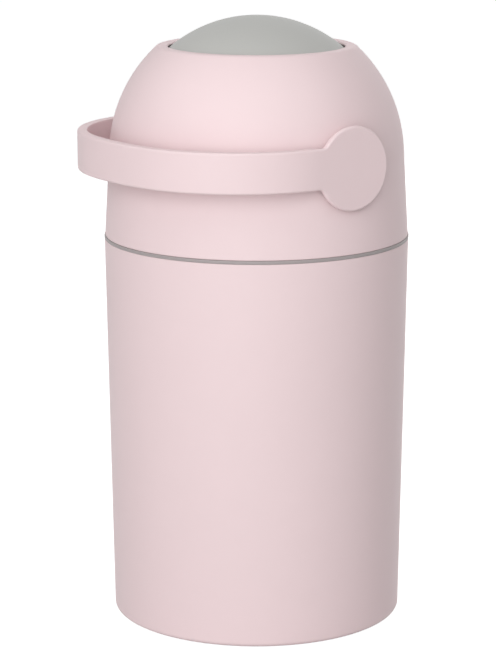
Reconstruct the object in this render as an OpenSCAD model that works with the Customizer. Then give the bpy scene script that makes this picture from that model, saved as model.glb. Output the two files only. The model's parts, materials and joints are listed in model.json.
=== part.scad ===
// Nappy bin with a flip-over drum.
// A tapered bin carries a loose bag ring and a round head. The loop handle turns a ball-shaped
// drum inside the head, and a loose piston slides in the drum's chamber and pushes the nappy out.
// The origin is on the ground under the bin's axis, +Z is up and the handle's pivot lies along X.

/* [Bin] */
// Distance that the bin's rim stands out from the head's foot
seam_step = 0.5; // [0:0.1:1]
// Difference in radius between the bin's rim and its foot
bin_taper = 5.8; // [2:0.1:15]
// Height of the bin's rim above the ground
bin_h = 346.5; // [300:0.5:400]
// Thickness of the bin's side wall
bin_wall = 3; // [2:0.1:3.5]
// Thickness of the bin's floor
bin_floor_t = 4; // [3:0.1:8]
// Radius of the rounded edge round the foot
foot_round = 3.6; // [2:0.1:6]
// Height of the rounded edge above the ground
foot_lift = 0.8; // [0.4:0.1:1.5]
// Radius inside the corner of the floor
floor_round = 12; // [6:0.5:20]
// Distance from the foot's side to the rubber pad under the floor
base_pad_inset = 19.2; // [14:0.1:40]
// Depth of the pad's recess in the floor
base_pad_recess = 1.6; // [1:0.1:2]
// Depth from the rim to the top of the locking collar
collar_depth = 4.5; // [4.2:0.1:7]
// Thickness of the locking collar
collar_t = 4; // [3:0.1:6]

/* [Bag ring] */
// Height of the ring's edge that shows between bin and head
ring_edge_h = 3; // [2.5:0.1:4]
// Distance that the ring's edge stands proud of the rim
ring_proud = 0.2; // [0:0.1:0.6]
// Distance from the hooks to the inside of the tube that the bag is drawn through
tube_inset = 9.5; // [9:0.1:15]
// Thickness of the ring's tube
ring_tube_t = 2.5; // [2:0.1:3]
// Length of the ring's tube below its flange
ring_tube_h = 28; // [20:0.5:40]
// Depth of the rib that centres the ring in the rim
ring_rib_h = 3.6; // [3:0.1:4]
// Thickness of the centring rib
ring_rib_t = 2.2; // [1.5:0.1:2.4]

/* [Lock] */
// Number of locking hooks
hook_count = 3; // [2:1:4]
// Direction of the first hook
hook_start = 30; // [25:1:35]
// Width of a hook, as an angle
hook_sweep = 16; // [10:1:18]
// Angle that the head turns to lock
lock_turn = 18; // [12:1:20]
// Spare angle at each side of a hook
hook_spare = 2; // [1.5:0.1:2.5]
// Space between the hooks' toes and the bin's side
hook_space = 1.5; // [1:0.1:2]
// Thickness of a hook's leg
hook_t = 3; // [2.5:0.1:3]
// Distance that a hook's toe reaches out
hook_toe = 5; // [4:0.1:5.2]
// Height of a hook's toe
hook_toe_h = 6; // [4:0.1:8]

/* [Head] */
// Distance that the head widens from its dome to its foot
skirt_flare = 4.3; // [3:0.1:8]
// Space between the drum and the head's wall
drum_space = 9.2; // [8.8:0.1:10]
// Height of the pivot above the head's foot
pivot_rise = 75.5; // [70:0.5:90]
// Depth of the dome's centre below the pivot
dome_drop = 4.5; // [3:0.1:5]
// Height of the lip above its lower edge on the drum
lip_h = 2.61; // [2.2:0.01:3.5]
// Radius of the lip's outer rounding
lip_round = 6; // [4:0.1:6.5]
// Distance that the lip's rounding stands proud of the dome
lip_bead = 0.15; // [0.1:0.05:0.3]
// Distance that the lip's opening is larger than the drum's mouth
opening_spare = 3.17; // [2.6:0.01:4.5]
// Radius of the lip's inner edge
lip_edge_round = 2; // [1:0.1:2.2]
// Thickness of the head's wall
head_wall = 3; // [2.5:0.1:3.3]
// Depth below the lip's top of the seat that holds the upper seal
seal_drop = 13; // [12:0.5:16]
// Height of the upper seal
upper_seal_h = 8; // [5:0.5:9]
// Thickness of the base plate that closes the head
base_plate_t = 5; // [4.6:0.1:7]
// Running space between the drum and the head's own parts
cradle_space = 1.2; // [1:0.1:1.6]
// Thickness of the cradle under the drum
cradle_t = 2.8; // [2:0.1:3.5]
// Height of the cradle's lip above the drum's mouth
cradle_lift = 1; // [0.5:0.1:3]
// Height of the seal under the cradle's lip
lower_seal_h = 3; // [2:0.1:4]
// Width of the seal between head and bag ring
gasket_w = 3.6; // [3:0.1:4]
// Depth of that seal's groove
gasket_h = 2; // [1.5:0.1:2.4]

/* [Drum] */
// Radius of the ball-shaped drum
ball_r = 120; // [110:0.5:135]
// Thickness of the drum's wall
ball_wall = 2.5; // [2:0.1:3]
// Width of the flat face round the chamber at the drum's mouth
mouth_flat = 1.33; // [0.5:0.01:2]
// Radius of the chamber for one nappy
chamber_r = 72; // [62:0.5:78]
// Thickness of the chamber's wall
chamber_wall = 2.5; // [2:0.1:3.5]
// Space between the chamber's closed end and the drum's wall
chamber_spare = 7.86; // [5:0.01:16]
// Thickness of the chamber's closed end
chamber_end_t = 5; // [4.6:0.1:6]
// Distance that the mouth's lip reaches in to keep the piston
mouth_lip = 3; // [2.5:0.1:4]
// Thickness of the mouth's lip
mouth_lip_t = 2.5; // [2:0.1:4]
// Height above the pivot at which dome and cup of the drum meet
split_rise = 22; // [20:0.5:26]
// Length of the cup's spigot inside the dome
spigot_h = 6; // [4:0.1:8]
// Thickness of the spigot and its ledge
spigot_t = 2.4; // [2:0.1:3]
// Width and height of the drum's own seal
drum_seal = 2.2; // [1.5:0.1:2.4]
// Distance from the chamber's wall to the circle of the drum's screws
drum_screw_inset = 17; // [14:0.5:27]

/* [Pivot] */
// Radius of the handle's hub, which turns in the bush
hub_r = 16; // [14:0.1:17]
// Running clearance between hub and bush
hub_fit = 0.05; // [0.02:0.01:0.1]
// Wall of the bush
bush_wall = 3; // [2:0.1:3.5]
// Thickness of the bush's flange
bush_flange_t = 2.4; // [2:0.1:3]
// Width of the boss round the bush
boss_wall = 5; // [4:0.1:6]
// Width of the inner boss beyond the outer one
boss_flange = 3; // [2:0.1:4]
// Thickness of the rubber washer between bush and drum
washer_t = 2.7; // [2:0.1:3.2]
// Corner radius of the hexagonal pin that turns the drum
pin_r = 10; // [8:0.1:11]
// Radius of the pin's head
pin_head_r = 14; // [12:0.1:14.5]
// Thickness of the pin's head
pin_head_t = 3.5; // [3:0.1:4]
// Length of the stops at the pivot, outwards
stop_l = 4.5; // [3:0.1:5]
// Half the width of the drum's stop, as an angle
stop_half_sweep = 8; // [5:0.5:12]

/* [Handle] */
// Thickness of the handle's round ends
pad_t = 4.7; // [4:0.1:8]
// Radius of the handle's round ends
pad_r = 36.8; // [30:0.1:42]
// Radius of the rounded edge of each round end
pad_round = 1.6; // [1:0.1:2]
// Height of the handle's band
band_h = 35.5; // [24:0.5:44]
// Thickness of the handle's band
band_t = 9; // [7:0.1:10]
// Height of the band's middle above the pivot
band_rise = 2.5; // [0:0.5:3]
// Distance that the band's straight start runs past the round end
straight_spare = 0.2; // [0.1:0.1:5]
// Space for the fingers between the head and the middle of the band
finger_gap = 14.8; // [12:0.1:30]
// Sweep of the band's bent sides
side_sweep = 80.9; // [79:0.1:83]
// Running space between the handle and the head
handle_space = 0.4; // [0.3:0.05:0.6]

/* [Piston] */
// Height of the piston
piston_h = 24; // [20:0.5:40]
// Space between the piston and the chamber's wall
piston_space = 1.2; // [0.8:0.1:1.6]
// Space between the piston's wiper and the chamber's wall
wiper_space = 0.3; // [0.25:0.05:0.4]
// Height of the wiper
wiper_h = 5; // [3:0.1:6]
// Thickness of the piston's plates
piston_plate_t = 4; // [3.6:0.1:5]
// Thickness of the piston's side wall
piston_wall = 4; // [3.6:0.1:5]
// Distance from the chamber's wall to the steel weight in the piston
weight_inset = 26; // [24:0.5:40]
// Thickness of the steel weight
weight_t = 7; // [4:0.1:8]
// Distance from the chamber's wall to the circle of the piston's screws
piston_screw_inset = 15; // [13:0.5:18]

/* [Screws] */
// Radius of a screw's shank
screw_r = 1.5; // [1:0.1:1.6]
// Radius of a screw's head
screw_head_r = 3; // [2.5:0.1:3.2]
// Height of a screw's head
screw_head_h = 2.2; // [1.8:0.1:2.3]
// Length of a screw's shank
screw_l = 14; // [12:0.5:14.5]
// Radius of a boss that takes a screw
screw_boss_r = 4.5; // [4:0.1:5]
// Number of screws that hold the head's base
base_screw_count = 6; // [3:1:6]
// Number of screws in the drum and in the piston
drum_screw_count = 4; // [3:1:6]
// Space between the base's screw posts and the head's wall
post_space = 1.1; // [0.9:0.1:1.5]
// Radius of the long screws through the pins
pin_screw_r = 2; // [1.5:0.1:2.2]

/* [Clearances] */
// Space between pieces that are fitted together
fit = 0.1; // [0.05:0.01:0.15]
// Space between pieces that move past each other
running = 0.3; // [0.25:0.05:0.4]
// Space between the drum and its rubber seals
seal_space = 0.35; // [0.3:0.05:0.5]
// Space between the drum and the head's lip
lip_space = 0.8; // [0.6:0.1:1]

/* [Hidden] */

pink = [0.925, 0.855, 0.865];
grey = [0.73, 0.73, 0.715];
line_grey = [0.62, 0.58, 0.58];
acetal = [0.9, 0.89, 0.86];
rubber = [0.35, 0.34, 0.34];
steel = [0.72, 0.73, 0.75];

$fn = 96;
round_fn = 180;
// Larger than the whole object, for cuts
far = 700;
// Small overlap that joins two shapes of one piece
bite = 0.6;

// Radii, from the drum outwards to the head, the bin and the lock
tube_r = chamber_r + chamber_wall;
mouth_r = tube_r + mouth_flat;
lip_r = mouth_r + opening_spare;
dome_r = ball_r + drum_space + head_wall;
head_foot_r = dome_r + skirt_flare;
bin_rim_r = head_foot_r + seam_step;
bin_foot_r = bin_rim_r - bin_taper;
base_pad_r = bin_foot_r - base_pad_inset;
hook_r = bin_rim_r - bin_wall - hook_space - hook_toe - hook_t;
ring_tube_r = hook_r - tube_inset;

// Heights on the drum, from the pivot
function rise_at(sphere_r, r) = sqrt(sphere_r * sphere_r - r * r);
mouth_depth = rise_at(ball_r, mouth_r);
lip_rise = rise_at(ball_r + lip_space, lip_r) + lip_h;
chamber_rise = rise_at(ball_r - ball_wall, tube_r) - chamber_end_t - chamber_spare;

// Heights
ring_z = bin_h + ring_edge_h;
pivot_z = ring_z + pivot_rise;
dome_z = pivot_z - dome_drop;
lip_z = pivot_z + lip_rise;
seat_z = lip_z - seal_drop;
plate_z = ring_z + fit * 5;
plate_top = plate_z + base_plate_t;
mouth_z = pivot_z - mouth_depth;
chamber_top = pivot_z + chamber_rise;
split_z = pivot_z + split_rise;
piston_z = mouth_z + mouth_lip_t + running;
cradle_z = mouth_z + cradle_lift;

// The bin's side leans by this angle, and the head's skirt runs tangent into its dome
bin_lean = atan((bin_rim_r - bin_foot_r) / (bin_h - foot_lift));
foot_gap = dome_z - ring_z;
foot_reach = sqrt(head_foot_r * head_foot_r + foot_gap * foot_gap);
skirt_lean = acos(dome_r / foot_reach) - atan2(foot_gap, head_foot_r);
function bin_r(z, inset) = bin_foot_r + (z - foot_lift) * tan(bin_lean) - inset / cos(bin_lean);
function skirt_r(z, inset) = (dome_r - inset - sin(skirt_lean) * (z - dome_z)) / cos(skirt_lean);
function ball_edge(r, z) = rise_at(r, z - pivot_z);

// The lip's outer rounding lies against the inside of the dome and crosses its surface a little
lip_centre_z = lip_z - lip_round;
lip_reach = dome_r - lip_round + lip_bead;
lip_centre_r = sqrt(lip_reach * lip_reach - (lip_centre_z - dome_z) * (lip_centre_z - dome_z));
lip_touch_z = dome_z + dome_r * (lip_centre_z - dome_z) / lip_reach;
// Radius of the cavity at the seal's seat
seat_r = sqrt(pow(dome_r - head_wall, 2) - pow(seat_z - dome_z, 2));

// Bin and lock
collar_z = bin_h - collar_depth - collar_t;
collar_r = hook_r + hook_t + 1.5;
toe_top = collar_z - running;
toe_z = toe_top - hook_toe_h;
toe_r = hook_r + hook_t + hook_toe;
window_r0 = hook_r - 0.5;
window_r1 = toe_r + 0.8;
gasket_r = ring_tube_r + ring_tube_t + 1.5;

band_z = pivot_z + band_rise - band_h / 2;
// Lowest point that the band reaches when it is turned over
band_low_z = pivot_z - band_rise - band_h / 2;

// Pivot, measured outwards along X
flat_x = ball_r - 1.4;
flat_r = sqrt(ball_r * ball_r - flat_x * flat_x);
washer_x = flat_x + washer_t;
flange_x = washer_x + running;
seat_x = flange_x + bush_flange_t;
bush_r = hub_r + hub_fit + bush_wall;
boss_r = bush_r + boss_wall;
inner_boss_r = boss_r + boss_flange;
// Depth at which the boss's inner part ends, inside the head's wall
inner_boss_x = sqrt(pow(dome_r - head_wall / 2, 2) - inner_boss_r * inner_boss_r);
hub_x = washer_x + running * 2;
// The round ends clear the skirt below the pivot, and the band clears it while the handle swings
boss_end_x = skirt_r(pivot_z - pad_r, 0);
pad_back_x = boss_end_x + handle_space;
band_sweep_r = norm([skirt_r(band_low_z, 0), band_h / 2 + band_rise]) + handle_space * 2;
bush_end_x = boss_end_x - running;
pin_x = chamber_r + 1.5;
socket_x = pad_back_x - 0.8;
pin_end_x = socket_x - running * 2;
stop_r0 = flat_r + 3;
stop_r1 = stop_r0 + stop_l;
stop_top_x = flange_x - running * 1.5;
stop_root_x = sqrt(ball_r * ball_r - stop_r1 * stop_r1) - bite * 2;
stop_floor_x = sqrt(ball_r * ball_r - stop_r0 * stop_r0) + running * 2;
stop_gap = 0.8;
key_w = 4;
drum_boss_r = pin_r + 7;
drum_screw_circle = chamber_r - drum_screw_inset;
base_screw_circle = skirt_r(plate_top, head_wall) - screw_boss_r - post_space;

// Handle's plan, as a straight start and tangent arcs from the pad to the front
pad_face_x = pad_back_x + pad_t;
band_mid_x = pad_face_x - band_t / 2;
straight_l = pad_r + straight_spare;
front_y = dome_r + finger_gap + band_t / 2;
front_share = (1 - sin(side_sweep)) / cos(side_sweep);
side_r = (front_y - straight_l - front_share * band_mid_x) / (1 - front_share);
side_c = [band_mid_x - side_r, -straight_l];
front_r = side_r + side_c[0] / cos(side_sweep);
front_c = [0, side_c[1] + (front_r - side_r) * sin(side_sweep)];
// Turn between the sides' last point and the front's first
plan_step = 2.2;

// Piston
piston_r = chamber_r - piston_space;
piston_top = piston_z + piston_h;
wiper_z = piston_z + (piston_h - wiper_h) / 2;
piston_inner_r = piston_r - piston_wall;
piston_screw_circle = chamber_r - piston_screw_inset;
weight_r = chamber_r - weight_inset;
groove_depth = 2;

// Counterbore of a screw's head, and the space that its shank has
head_hole_r = screw_head_r + fit * 4;
head_hole_h = screw_head_h + fit * 3;
shank_hole_r = screw_r + fit;

// ---- helpers ----

// A half profile turned into a full ring or shell
module turn_full() {
  rotate_extrude($fn = round_fn) children();
}

// A ring sector with a square section, from angle a by sweep
module sector(r0, r1, z0, z1, a, sweep) {
  rotate([0, 0, a]) rotate_extrude(angle = sweep, $fn = round_fn)
    translate([r0, z0]) square([r1 - r0, z1 - z0]);
}

// A square section given by its edges
module section(r0, r1, z0, z1) {
  translate([r0, z0]) square([r1 - r0, z1 - z0]);
}

// The part of a circle round the axis between two heights
module round_section(r, zc, z0, z1) {
  intersection() {
    translate([0, zc]) circle(r = r, $fn = round_fn);
    section(0, far, z0, z1);
  }
}

// Copies on a circle
module around(count, r, start) {
  for (i = [0 : count - 1]) rotate([0, 0, start + i * 360 / count]) translate([r, 0, 0]) children();
}

// A round bar along X at the pivot's height, on the side s
module along(s, r, x0, x1) {
  translate([0, 0, pivot_z]) rotate([0, s * 90, 0]) translate([0, 0, x0]) cylinder(r = r, h = x1 - x0);
}

// The same with a hexagonal section
module hex_along(s, r, x0, x1) {
  translate([0, 0, pivot_z]) rotate([0, s * 90, 0]) translate([0, 0, x0])
    cylinder(r = r, h = x1 - x0, $fn = 6);
}

// A half profile turned about the pivot's axis on the side s
module turned_along(s) {
  translate([0, 0, pivot_z]) rotate([0, s * 90, 0]) rotate_extrude($fn = round_fn) children();
}

// A ring sector round the pivot's axis, its middle at angle a from straight up towards +Y
module pivot_sector(s, r0, r1, x0, x1, a, half) {
  translate([0, 0, pivot_z]) rotate([a, 0, 0]) rotate([0, s * 90, 0]) rotate([0, 0, 90 + s * 90 - half])
    rotate_extrude(angle = 2 * half, $fn = round_fn) translate([r0, x0]) square([r1 - r0, x1 - x0]);
}

// A screw with its head's face at height 0, pointing up
module screw() {
  cylinder(r = screw_head_r, h = screw_head_h, $fn = 32);
  translate([0, 0, screw_head_h - fit]) cylinder(r = screw_r, h = screw_l, $fn = 32);
}

// The hole for that screw through a plate, with its head below the surface
module screw_hole() {
  translate([0, 0, -1]) cylinder(r = head_hole_r, h = 1 + head_hole_h, $fn = 32);
  translate([0, 0, 0]) cylinder(r = shank_hole_r, h = screw_head_h + screw_l + 1, $fn = 32);
}

// ---- bin ----

module bin_outline(inset, z0, z1, round) {
  zc = z0 + round;
  cx = bin_r(zc, inset) - round / cos(bin_lean);
  touch = [cx + round * cos(bin_lean), zc - round * sin(bin_lean)];
  polygon([[0, z0], [cx, z0], [cx, zc], touch, [bin_r(z1, inset), z1], [0, z1]]);
  intersection() {
    translate([cx, zc]) circle(r = round);
    section(cx - 1, far, z0, zc + round);
  }
}

module bin_body() {
  color(pink) difference() {
    turn_full() difference() {
      union() {
        difference() {
          bin_outline(0, foot_lift, bin_h, foot_round);
          bin_outline(bin_wall, foot_lift + bin_floor_t, bin_h + 1, floor_round);
        }
        section(collar_r, bin_r(bin_h, bin_wall) + bite, collar_z, collar_z + collar_t);
      }
      section(-1, base_pad_r + fit, foot_lift - 1, foot_lift + base_pad_recess);
    }
    for (i = [0 : hook_count - 1])
      sector(collar_r - 1, bin_r(bin_h, bin_wall) + bite / 2, collar_z - 1, collar_z + collar_t + 1,
        hook_start + i * 360 / hook_count - hook_sweep / 2 - hook_spare, hook_sweep + 2 * hook_spare);
  }
}

module base_pad() {
  color(rubber) cylinder(r = base_pad_r, h = foot_lift + base_pad_recess, $fn = round_fn);
}

// ---- bag ring ----

module bag_ring() {
  color(line_grey) difference() {
    turn_full() {
      section(ring_tube_r, bin_rim_r + ring_proud, bin_h, ring_z);
      section(ring_tube_r, ring_tube_r + ring_tube_t, bin_h - ring_tube_h, ring_z);
      section(bin_r(bin_h - ring_rib_h, bin_wall) - running - ring_rib_t,
        bin_r(bin_h - ring_rib_h, bin_wall) - running, bin_h - ring_rib_h, ring_z);
    }
    for (i = [0 : hook_count - 1])
      sector(window_r0, window_r1, bin_h - ring_rib_h - 1, ring_z + 1,
        hook_start + i * 360 / hook_count - hook_sweep / 2 - hook_spare,
        hook_sweep + lock_turn + 2 * hook_spare);
  }
}

// ---- head ----

module head_outline() {
  polygon([[0, ring_z], [head_foot_r, ring_z],
    [dome_r * cos(skirt_lean), dome_z + dome_r * sin(skirt_lean)], [0, dome_z + dome_r * sin(skirt_lean)]]);
  round_section(dome_r, dome_z, dome_z, lip_touch_z);
  section(0, lip_centre_r, dome_z, lip_z);
  translate([lip_centre_r, lip_centre_z]) circle(r = lip_round);
}

module head_cavity() {
  inner = dome_r - head_wall;
  polygon([[0, ring_z - 1], [skirt_r(ring_z - 1, head_wall), ring_z - 1],
    [inner * cos(skirt_lean), dome_z + inner * sin(skirt_lean)], [0, dome_z + inner * sin(skirt_lean)]]);
  round_section(inner, dome_z, dome_z, seat_z);
  round_section(ball_r + lip_space, pivot_z, pivot_z, far);
  section(0, lip_r, seat_z, far);
}

module head_profile() {
  edge_z = lip_z - lip_edge_round;
  difference() {
    head_outline();
    head_cavity();
    section(0, lip_r + lip_edge_round, edge_z, far);
  }
  difference() {
    translate([lip_r + lip_edge_round, edge_z]) circle(r = lip_edge_round, $fn = 48);
    round_section(ball_r + lip_space, pivot_z, pivot_z, far);
  }
}

// The boss that carries a bush, in the head's wall
module pivot_boss(s) {
  along(s, inner_boss_r, seat_x, inner_boss_x);
  along(s, boss_r, seat_x + 1, boss_end_x);
}

module head_shell() {
  boss_z = plate_top;
  color(pink) difference() {
    union() {
      turn_full() head_profile();
      for (s = [-1, 1]) pivot_boss(s);
      around(base_screw_count, base_screw_circle, 0) {
        translate([0, 0, boss_z]) cylinder(r = screw_boss_r, h = screw_l + 4, $fn = 32);
        translate([0, -screw_boss_r / 2, boss_z])
          cube([skirt_r(boss_z, head_wall / 2) - base_screw_circle - bite, screw_boss_r, screw_l + 4]);
      }
    }
    for (s = [-1, 1]) {
      along(s, bush_r + hub_fit, seat_x - 1, far / 2);
      key_slot(s, fit);
    }
    around(base_screw_count, base_screw_circle, 0)
      translate([0, 0, boss_z - 1]) cylinder(r = shank_hole_r, h = screw_l + 2, $fn = 32);
  }
}

// The key that stops a bush from turning, or its slot when it is larger by a clearance
module key_slot(s, space) {
  pivot_sector(s, bush_r - 1, bush_r + 3 + space, seat_x - 1, seat_x + key_w + space, 0, 5 + space);
}

module head_base() {
  color(grey) difference() {
    union() {
      turn_full() {
        section(ball_edge(ball_r + cradle_space + cradle_t / 2, plate_z),
          skirt_r(plate_top, head_wall) - fit * 2, plate_z, plate_top);
        difference() {
          round_section(ball_r + cradle_space + cradle_t, pivot_z, cradle_z, plate_top);
          round_section(ball_r + cradle_space, pivot_z, cradle_z - 1, plate_top + 1);
        }
      }
      for (i = [0 : hook_count - 1]) {
        a = hook_start + i * 360 / hook_count - hook_sweep / 2;
        sector(hook_r, hook_r + hook_t, toe_z, plate_z + 1, a, hook_sweep);
        sector(hook_r + 1, toe_r, toe_z, toe_top, a, hook_sweep);
      }
    }
    translate([0, 0, pivot_z]) sphere(r = ball_r + cradle_space, $fn = round_fn);
    turn_full() section(gasket_r, gasket_r + gasket_w + fit * 2, plate_z - 1, plate_z + gasket_h);
    around(base_screw_count, base_screw_circle, 0) translate([0, 0, plate_z]) screw_hole();
  }
}

module head_base_screws() {
  color(steel) around(base_screw_count, base_screw_circle, 0)
    translate([0, 0, plate_z + head_hole_h - screw_head_h]) screw();
}

module upper_seal() {
  color(rubber) turn_full() difference() {
    section(0, seat_r - fit * 4, seat_z - upper_seal_h, seat_z);
    round_section(ball_r + seal_space, pivot_z, pivot_z, far);
  }
}

module lower_seal() {
  color(rubber) turn_full() difference() {
    section(0, ball_edge(ball_r + cradle_space + cradle_t, cradle_z), cradle_z - lower_seal_h, cradle_z);
    round_section(ball_r + seal_space, pivot_z, 0, pivot_z);
  }
}

module ring_gasket() {
  color(rubber) turn_full() section(gasket_r + fit, gasket_r + gasket_w + fit, ring_z, plate_z + gasket_h);
}

// A bush with a flange, a key and the curved stop that ends the drum's turn both ways
module bush(s) {
  color(acetal) difference() {
    union() {
      along(s, bush_r, flange_x, bush_end_x);
      along(s, inner_boss_r, flange_x, seat_x);
      key_slot(s, 0);
      pivot_sector(s, stop_r0, stop_r1, stop_floor_x, flange_x + 1, -90, 90 - stop_half_sweep - stop_gap);
    }
    along(s, hub_r + hub_fit, flange_x - 10, bush_end_x + 1);
  }
}

module bush_left() { bush(-1); }
module bush_right() { bush(1); }

// ---- drum ----

module drum_wall(z0, z1) {
  difference() {
    round_section(ball_r, pivot_z, z0, z1);
    round_section(ball_r - ball_wall, pivot_z, z0 - 1, z1 + 1);
  }
}

module drum_dome() {
  inner = ball_r - ball_wall;
  post_z = chamber_top + chamber_end_t;
  color(grey) difference() {
    union() {
      turn_full() drum_wall(split_z, far);
      intersection() {
        around(drum_screw_count, drum_screw_circle, 45)
          translate([0, 0, post_z]) cylinder(r = screw_boss_r, h = ball_r, $fn = 32);
        translate([0, 0, pivot_z]) sphere(r = inner + ball_wall / 2, $fn = round_fn);
      }
    }
    around(drum_screw_count, drum_screw_circle, 45)
      translate([0, 0, post_z - 1]) cylinder(r = shank_hole_r, h = screw_l + 1, $fn = 32);
  }
}

module drum_cup() {
  ledge_r = ball_edge(ball_r - ball_wall, split_z) - drum_seal - spigot_t - 1;
  color(grey) difference() {
    union() {
      turn_full() {
        drum_wall(mouth_z, split_z);
        intersection() {
          section(chamber_r - mouth_lip, tube_r, mouth_z, chamber_top + chamber_end_t);
          translate([0, pivot_z]) circle(r = ball_r - ball_wall / 2, $fn = round_fn);
        }
        section(0, tube_r, chamber_top, chamber_top + chamber_end_t);
        section(ledge_r, ball_edge(ball_r, split_z) - ball_wall / 2, split_z - spigot_t, split_z);
        section(ledge_r, ledge_r + spigot_t, split_z - spigot_t, split_z + spigot_h);
      }
      for (s = [-1, 1]) {
        along(s, drum_boss_r, chamber_r + chamber_wall / 2, flat_x);
        pivot_sector(s, stop_r0, stop_r1, stop_root_x, stop_top_x, 180, stop_half_sweep);
      }
    }
    translate([0, 0, mouth_z + mouth_lip_t]) cylinder(r = chamber_r, h = chamber_top - mouth_z - mouth_lip_t,
      $fn = round_fn);
    for (s = [-1, 1]) {
      along(s, flat_r + fit, flat_x, ball_r + 5);
      along(s, pin_head_r + fit, chamber_r - 5, pin_x + pin_head_t);
      hex_along(s, pin_r + fit, pin_x, ball_r + 5);
    }
    around(drum_screw_count, drum_screw_circle, 45) translate([0, 0, chamber_top]) screw_hole();
  }
}

module drum_gasket() {
  ledge_r = ball_edge(ball_r - ball_wall, split_z) - drum_seal - spigot_t - 1;
  color(rubber) turn_full()
    section(ledge_r + spigot_t + fit, ledge_r + spigot_t + fit + drum_seal, split_z, split_z + drum_seal);
}

module drum_screws() {
  color(steel) around(drum_screw_count, drum_screw_circle, 45)
    translate([0, 0, chamber_top + head_hole_h - screw_head_h]) screw();
}

module pivot_washer(s) {
  color(rubber) difference() {
    along(s, flat_r, flat_x, washer_x);
    along(s, pin_r + 1, flat_x - 1, washer_x + 1);
  }
}

module pivot_washer_left() { pivot_washer(-1); }
module pivot_washer_right() { pivot_washer(1); }

module pivot_pin(s) {
  color(acetal) difference() {
    union() {
      along(s, pin_head_r, pin_x, pin_x + pin_head_t);
      hex_along(s, pin_r, pin_x + pin_head_t - bite, pin_end_x);
    }
    along(s, pin_screw_r + fit, pin_x - 1, pin_end_x + 1);
    along(s, pin_screw_r * 2 + fit * 2, pin_x - 1, pin_x + screw_head_h);
  }
}

module pivot_pin_left() { pivot_pin(-1); }
module pivot_pin_right() { pivot_pin(1); }

module pivot_screws() {
  color(steel) for (s = [-1, 1]) {
    along(s, pin_screw_r * 2, pin_x + fit, pin_x + screw_head_h);
    along(s, pin_screw_r, pin_x + screw_head_h - bite, socket_x + 2);
  }
}

// ---- handle ----

// Points on an arc round the centre c
function arc_points(c, r, a0, a1, steps) =
  [for (i = [0 : steps]) let (a = a0 + (a1 - a0) * i / steps) c + r * [cos(a), sin(a)]];

// Half of the handle's plan, from the pad to the front, at the distance o outside the middle line
function half_plan(o) = concat(
  [[band_mid_x + o, 0]],
  arc_points(side_c, side_r + o, 0, -side_sweep, 20),
  arc_points(front_c, front_r + o, -side_sweep - plan_step, -90, 3));

function reversed(list) = [for (i = [len(list) - 1 : -1 : 0]) list[i]];

// The whole plan of one face of the band, with the front's point once
function face_plan(o) = concat(half_plan(o), [for (i = [len(half_plan(o)) - 2 : -1 : 0])
  [-half_plan(o)[i][0], half_plan(o)[i][1]]]);

module band() {
  translate([0, 0, band_z]) linear_extrude(height = band_h)
    polygon(concat(face_plan(band_t / 2), reversed(face_plan(-band_t / 2))));
}

module pad_disc(s) {
  turned_along(s) {
    section(0, pad_r, pad_back_x, pad_face_x - pad_round);
    section(0, pad_r - pad_round, pad_back_x, pad_face_x);
    translate([pad_r - pad_round, pad_face_x - pad_round]) circle(r = pad_round, $fn = 32);
  }
}

module handle() {
  color(pink) difference() {
    union() {
      difference() {
        band();
        translate([0, 0, pivot_z]) sphere(r = band_sweep_r, $fn = round_fn);
        for (s = [-1, 1]) along(s, pad_r + 1, 0, pad_back_x);
      }
      for (s = [-1, 1]) {
        pad_disc(s);
        along(s, hub_r, hub_x, pad_back_x + bite);
      }
    }
    for (s = [-1, 1]) {
      hex_along(s, pin_r + fit, hub_x - 1, socket_x);
      along(s, pin_screw_r + fit, socket_x - 1, socket_x + 2.5);
    }
  }
}

// ---- piston ----

module piston_body() {
  color(acetal) difference() {
    union() {
      turn_full() {
        section(0, piston_r, piston_top - piston_plate_t, piston_top);
        difference() {
          section(piston_inner_r, piston_r, piston_z + piston_plate_t, piston_top - bite);
          section(piston_r - groove_depth, piston_r + 1, wiper_z, wiper_z + wiper_h);
        }
      }
      around(drum_screw_count, piston_screw_circle, 0)
        translate([0, 0, piston_z + piston_plate_t])
          cylinder(r = screw_boss_r, h = piston_h - piston_plate_t - bite, $fn = 32);
    }
    around(drum_screw_count, piston_screw_circle, 0)
      translate([0, 0, piston_z]) cylinder(r = shank_hole_r, h = screw_head_h + screw_l + 1, $fn = 32);
  }
}

module piston_cap() {
  weight_z = piston_top - piston_plate_t - weight_t;
  color(grey) difference() {
    turn_full() {
      section(0, piston_r, piston_z, piston_z + piston_plate_t);
      section(weight_r - 6, weight_r - 3, piston_z + piston_plate_t - bite, weight_z);
    }
    around(drum_screw_count, piston_screw_circle, 0) translate([0, 0, piston_z]) screw_hole();
  }
}

module piston_weight() {
  color(steel) translate([0, 0, piston_top - piston_plate_t - weight_t])
    cylinder(r = weight_r, h = weight_t, $fn = round_fn);
}

module piston_wiper() {
  color(rubber) turn_full()
    section(piston_r - groove_depth + fit, chamber_r - wiper_space, wiper_z + fit, wiper_z + wiper_h - fit);
}

module piston_screws() {
  color(steel) around(drum_screw_count, piston_screw_circle, 0)
    translate([0, 0, piston_z + head_hole_h - screw_head_h]) screw();
}

bin_body();
base_pad();
bag_ring();
head_shell();
head_base();
upper_seal();
lower_seal();
ring_gasket();
bush_left();
bush_right();
head_base_screws();
drum_dome();
drum_cup();
drum_gasket();
drum_screws();
pivot_washer_left();
pivot_washer_right();
pivot_pin_left();
pivot_pin_right();
pivot_screws();
handle();
piston_body();
piston_cap();
piston_weight();
piston_wiper();
piston_screws();
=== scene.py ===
"""Looks of a nappy bin with a flip-over drum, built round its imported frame."""

import json
import math
from contextlib import contextmanager

import bmesh
import bpy
import numpy as np
from bpy.props import FloatProperty, FloatVectorProperty, PointerProperty
from mathutils import Matrix, Vector
from mathutils.geometry import delaunay_2d_cdt


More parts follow.
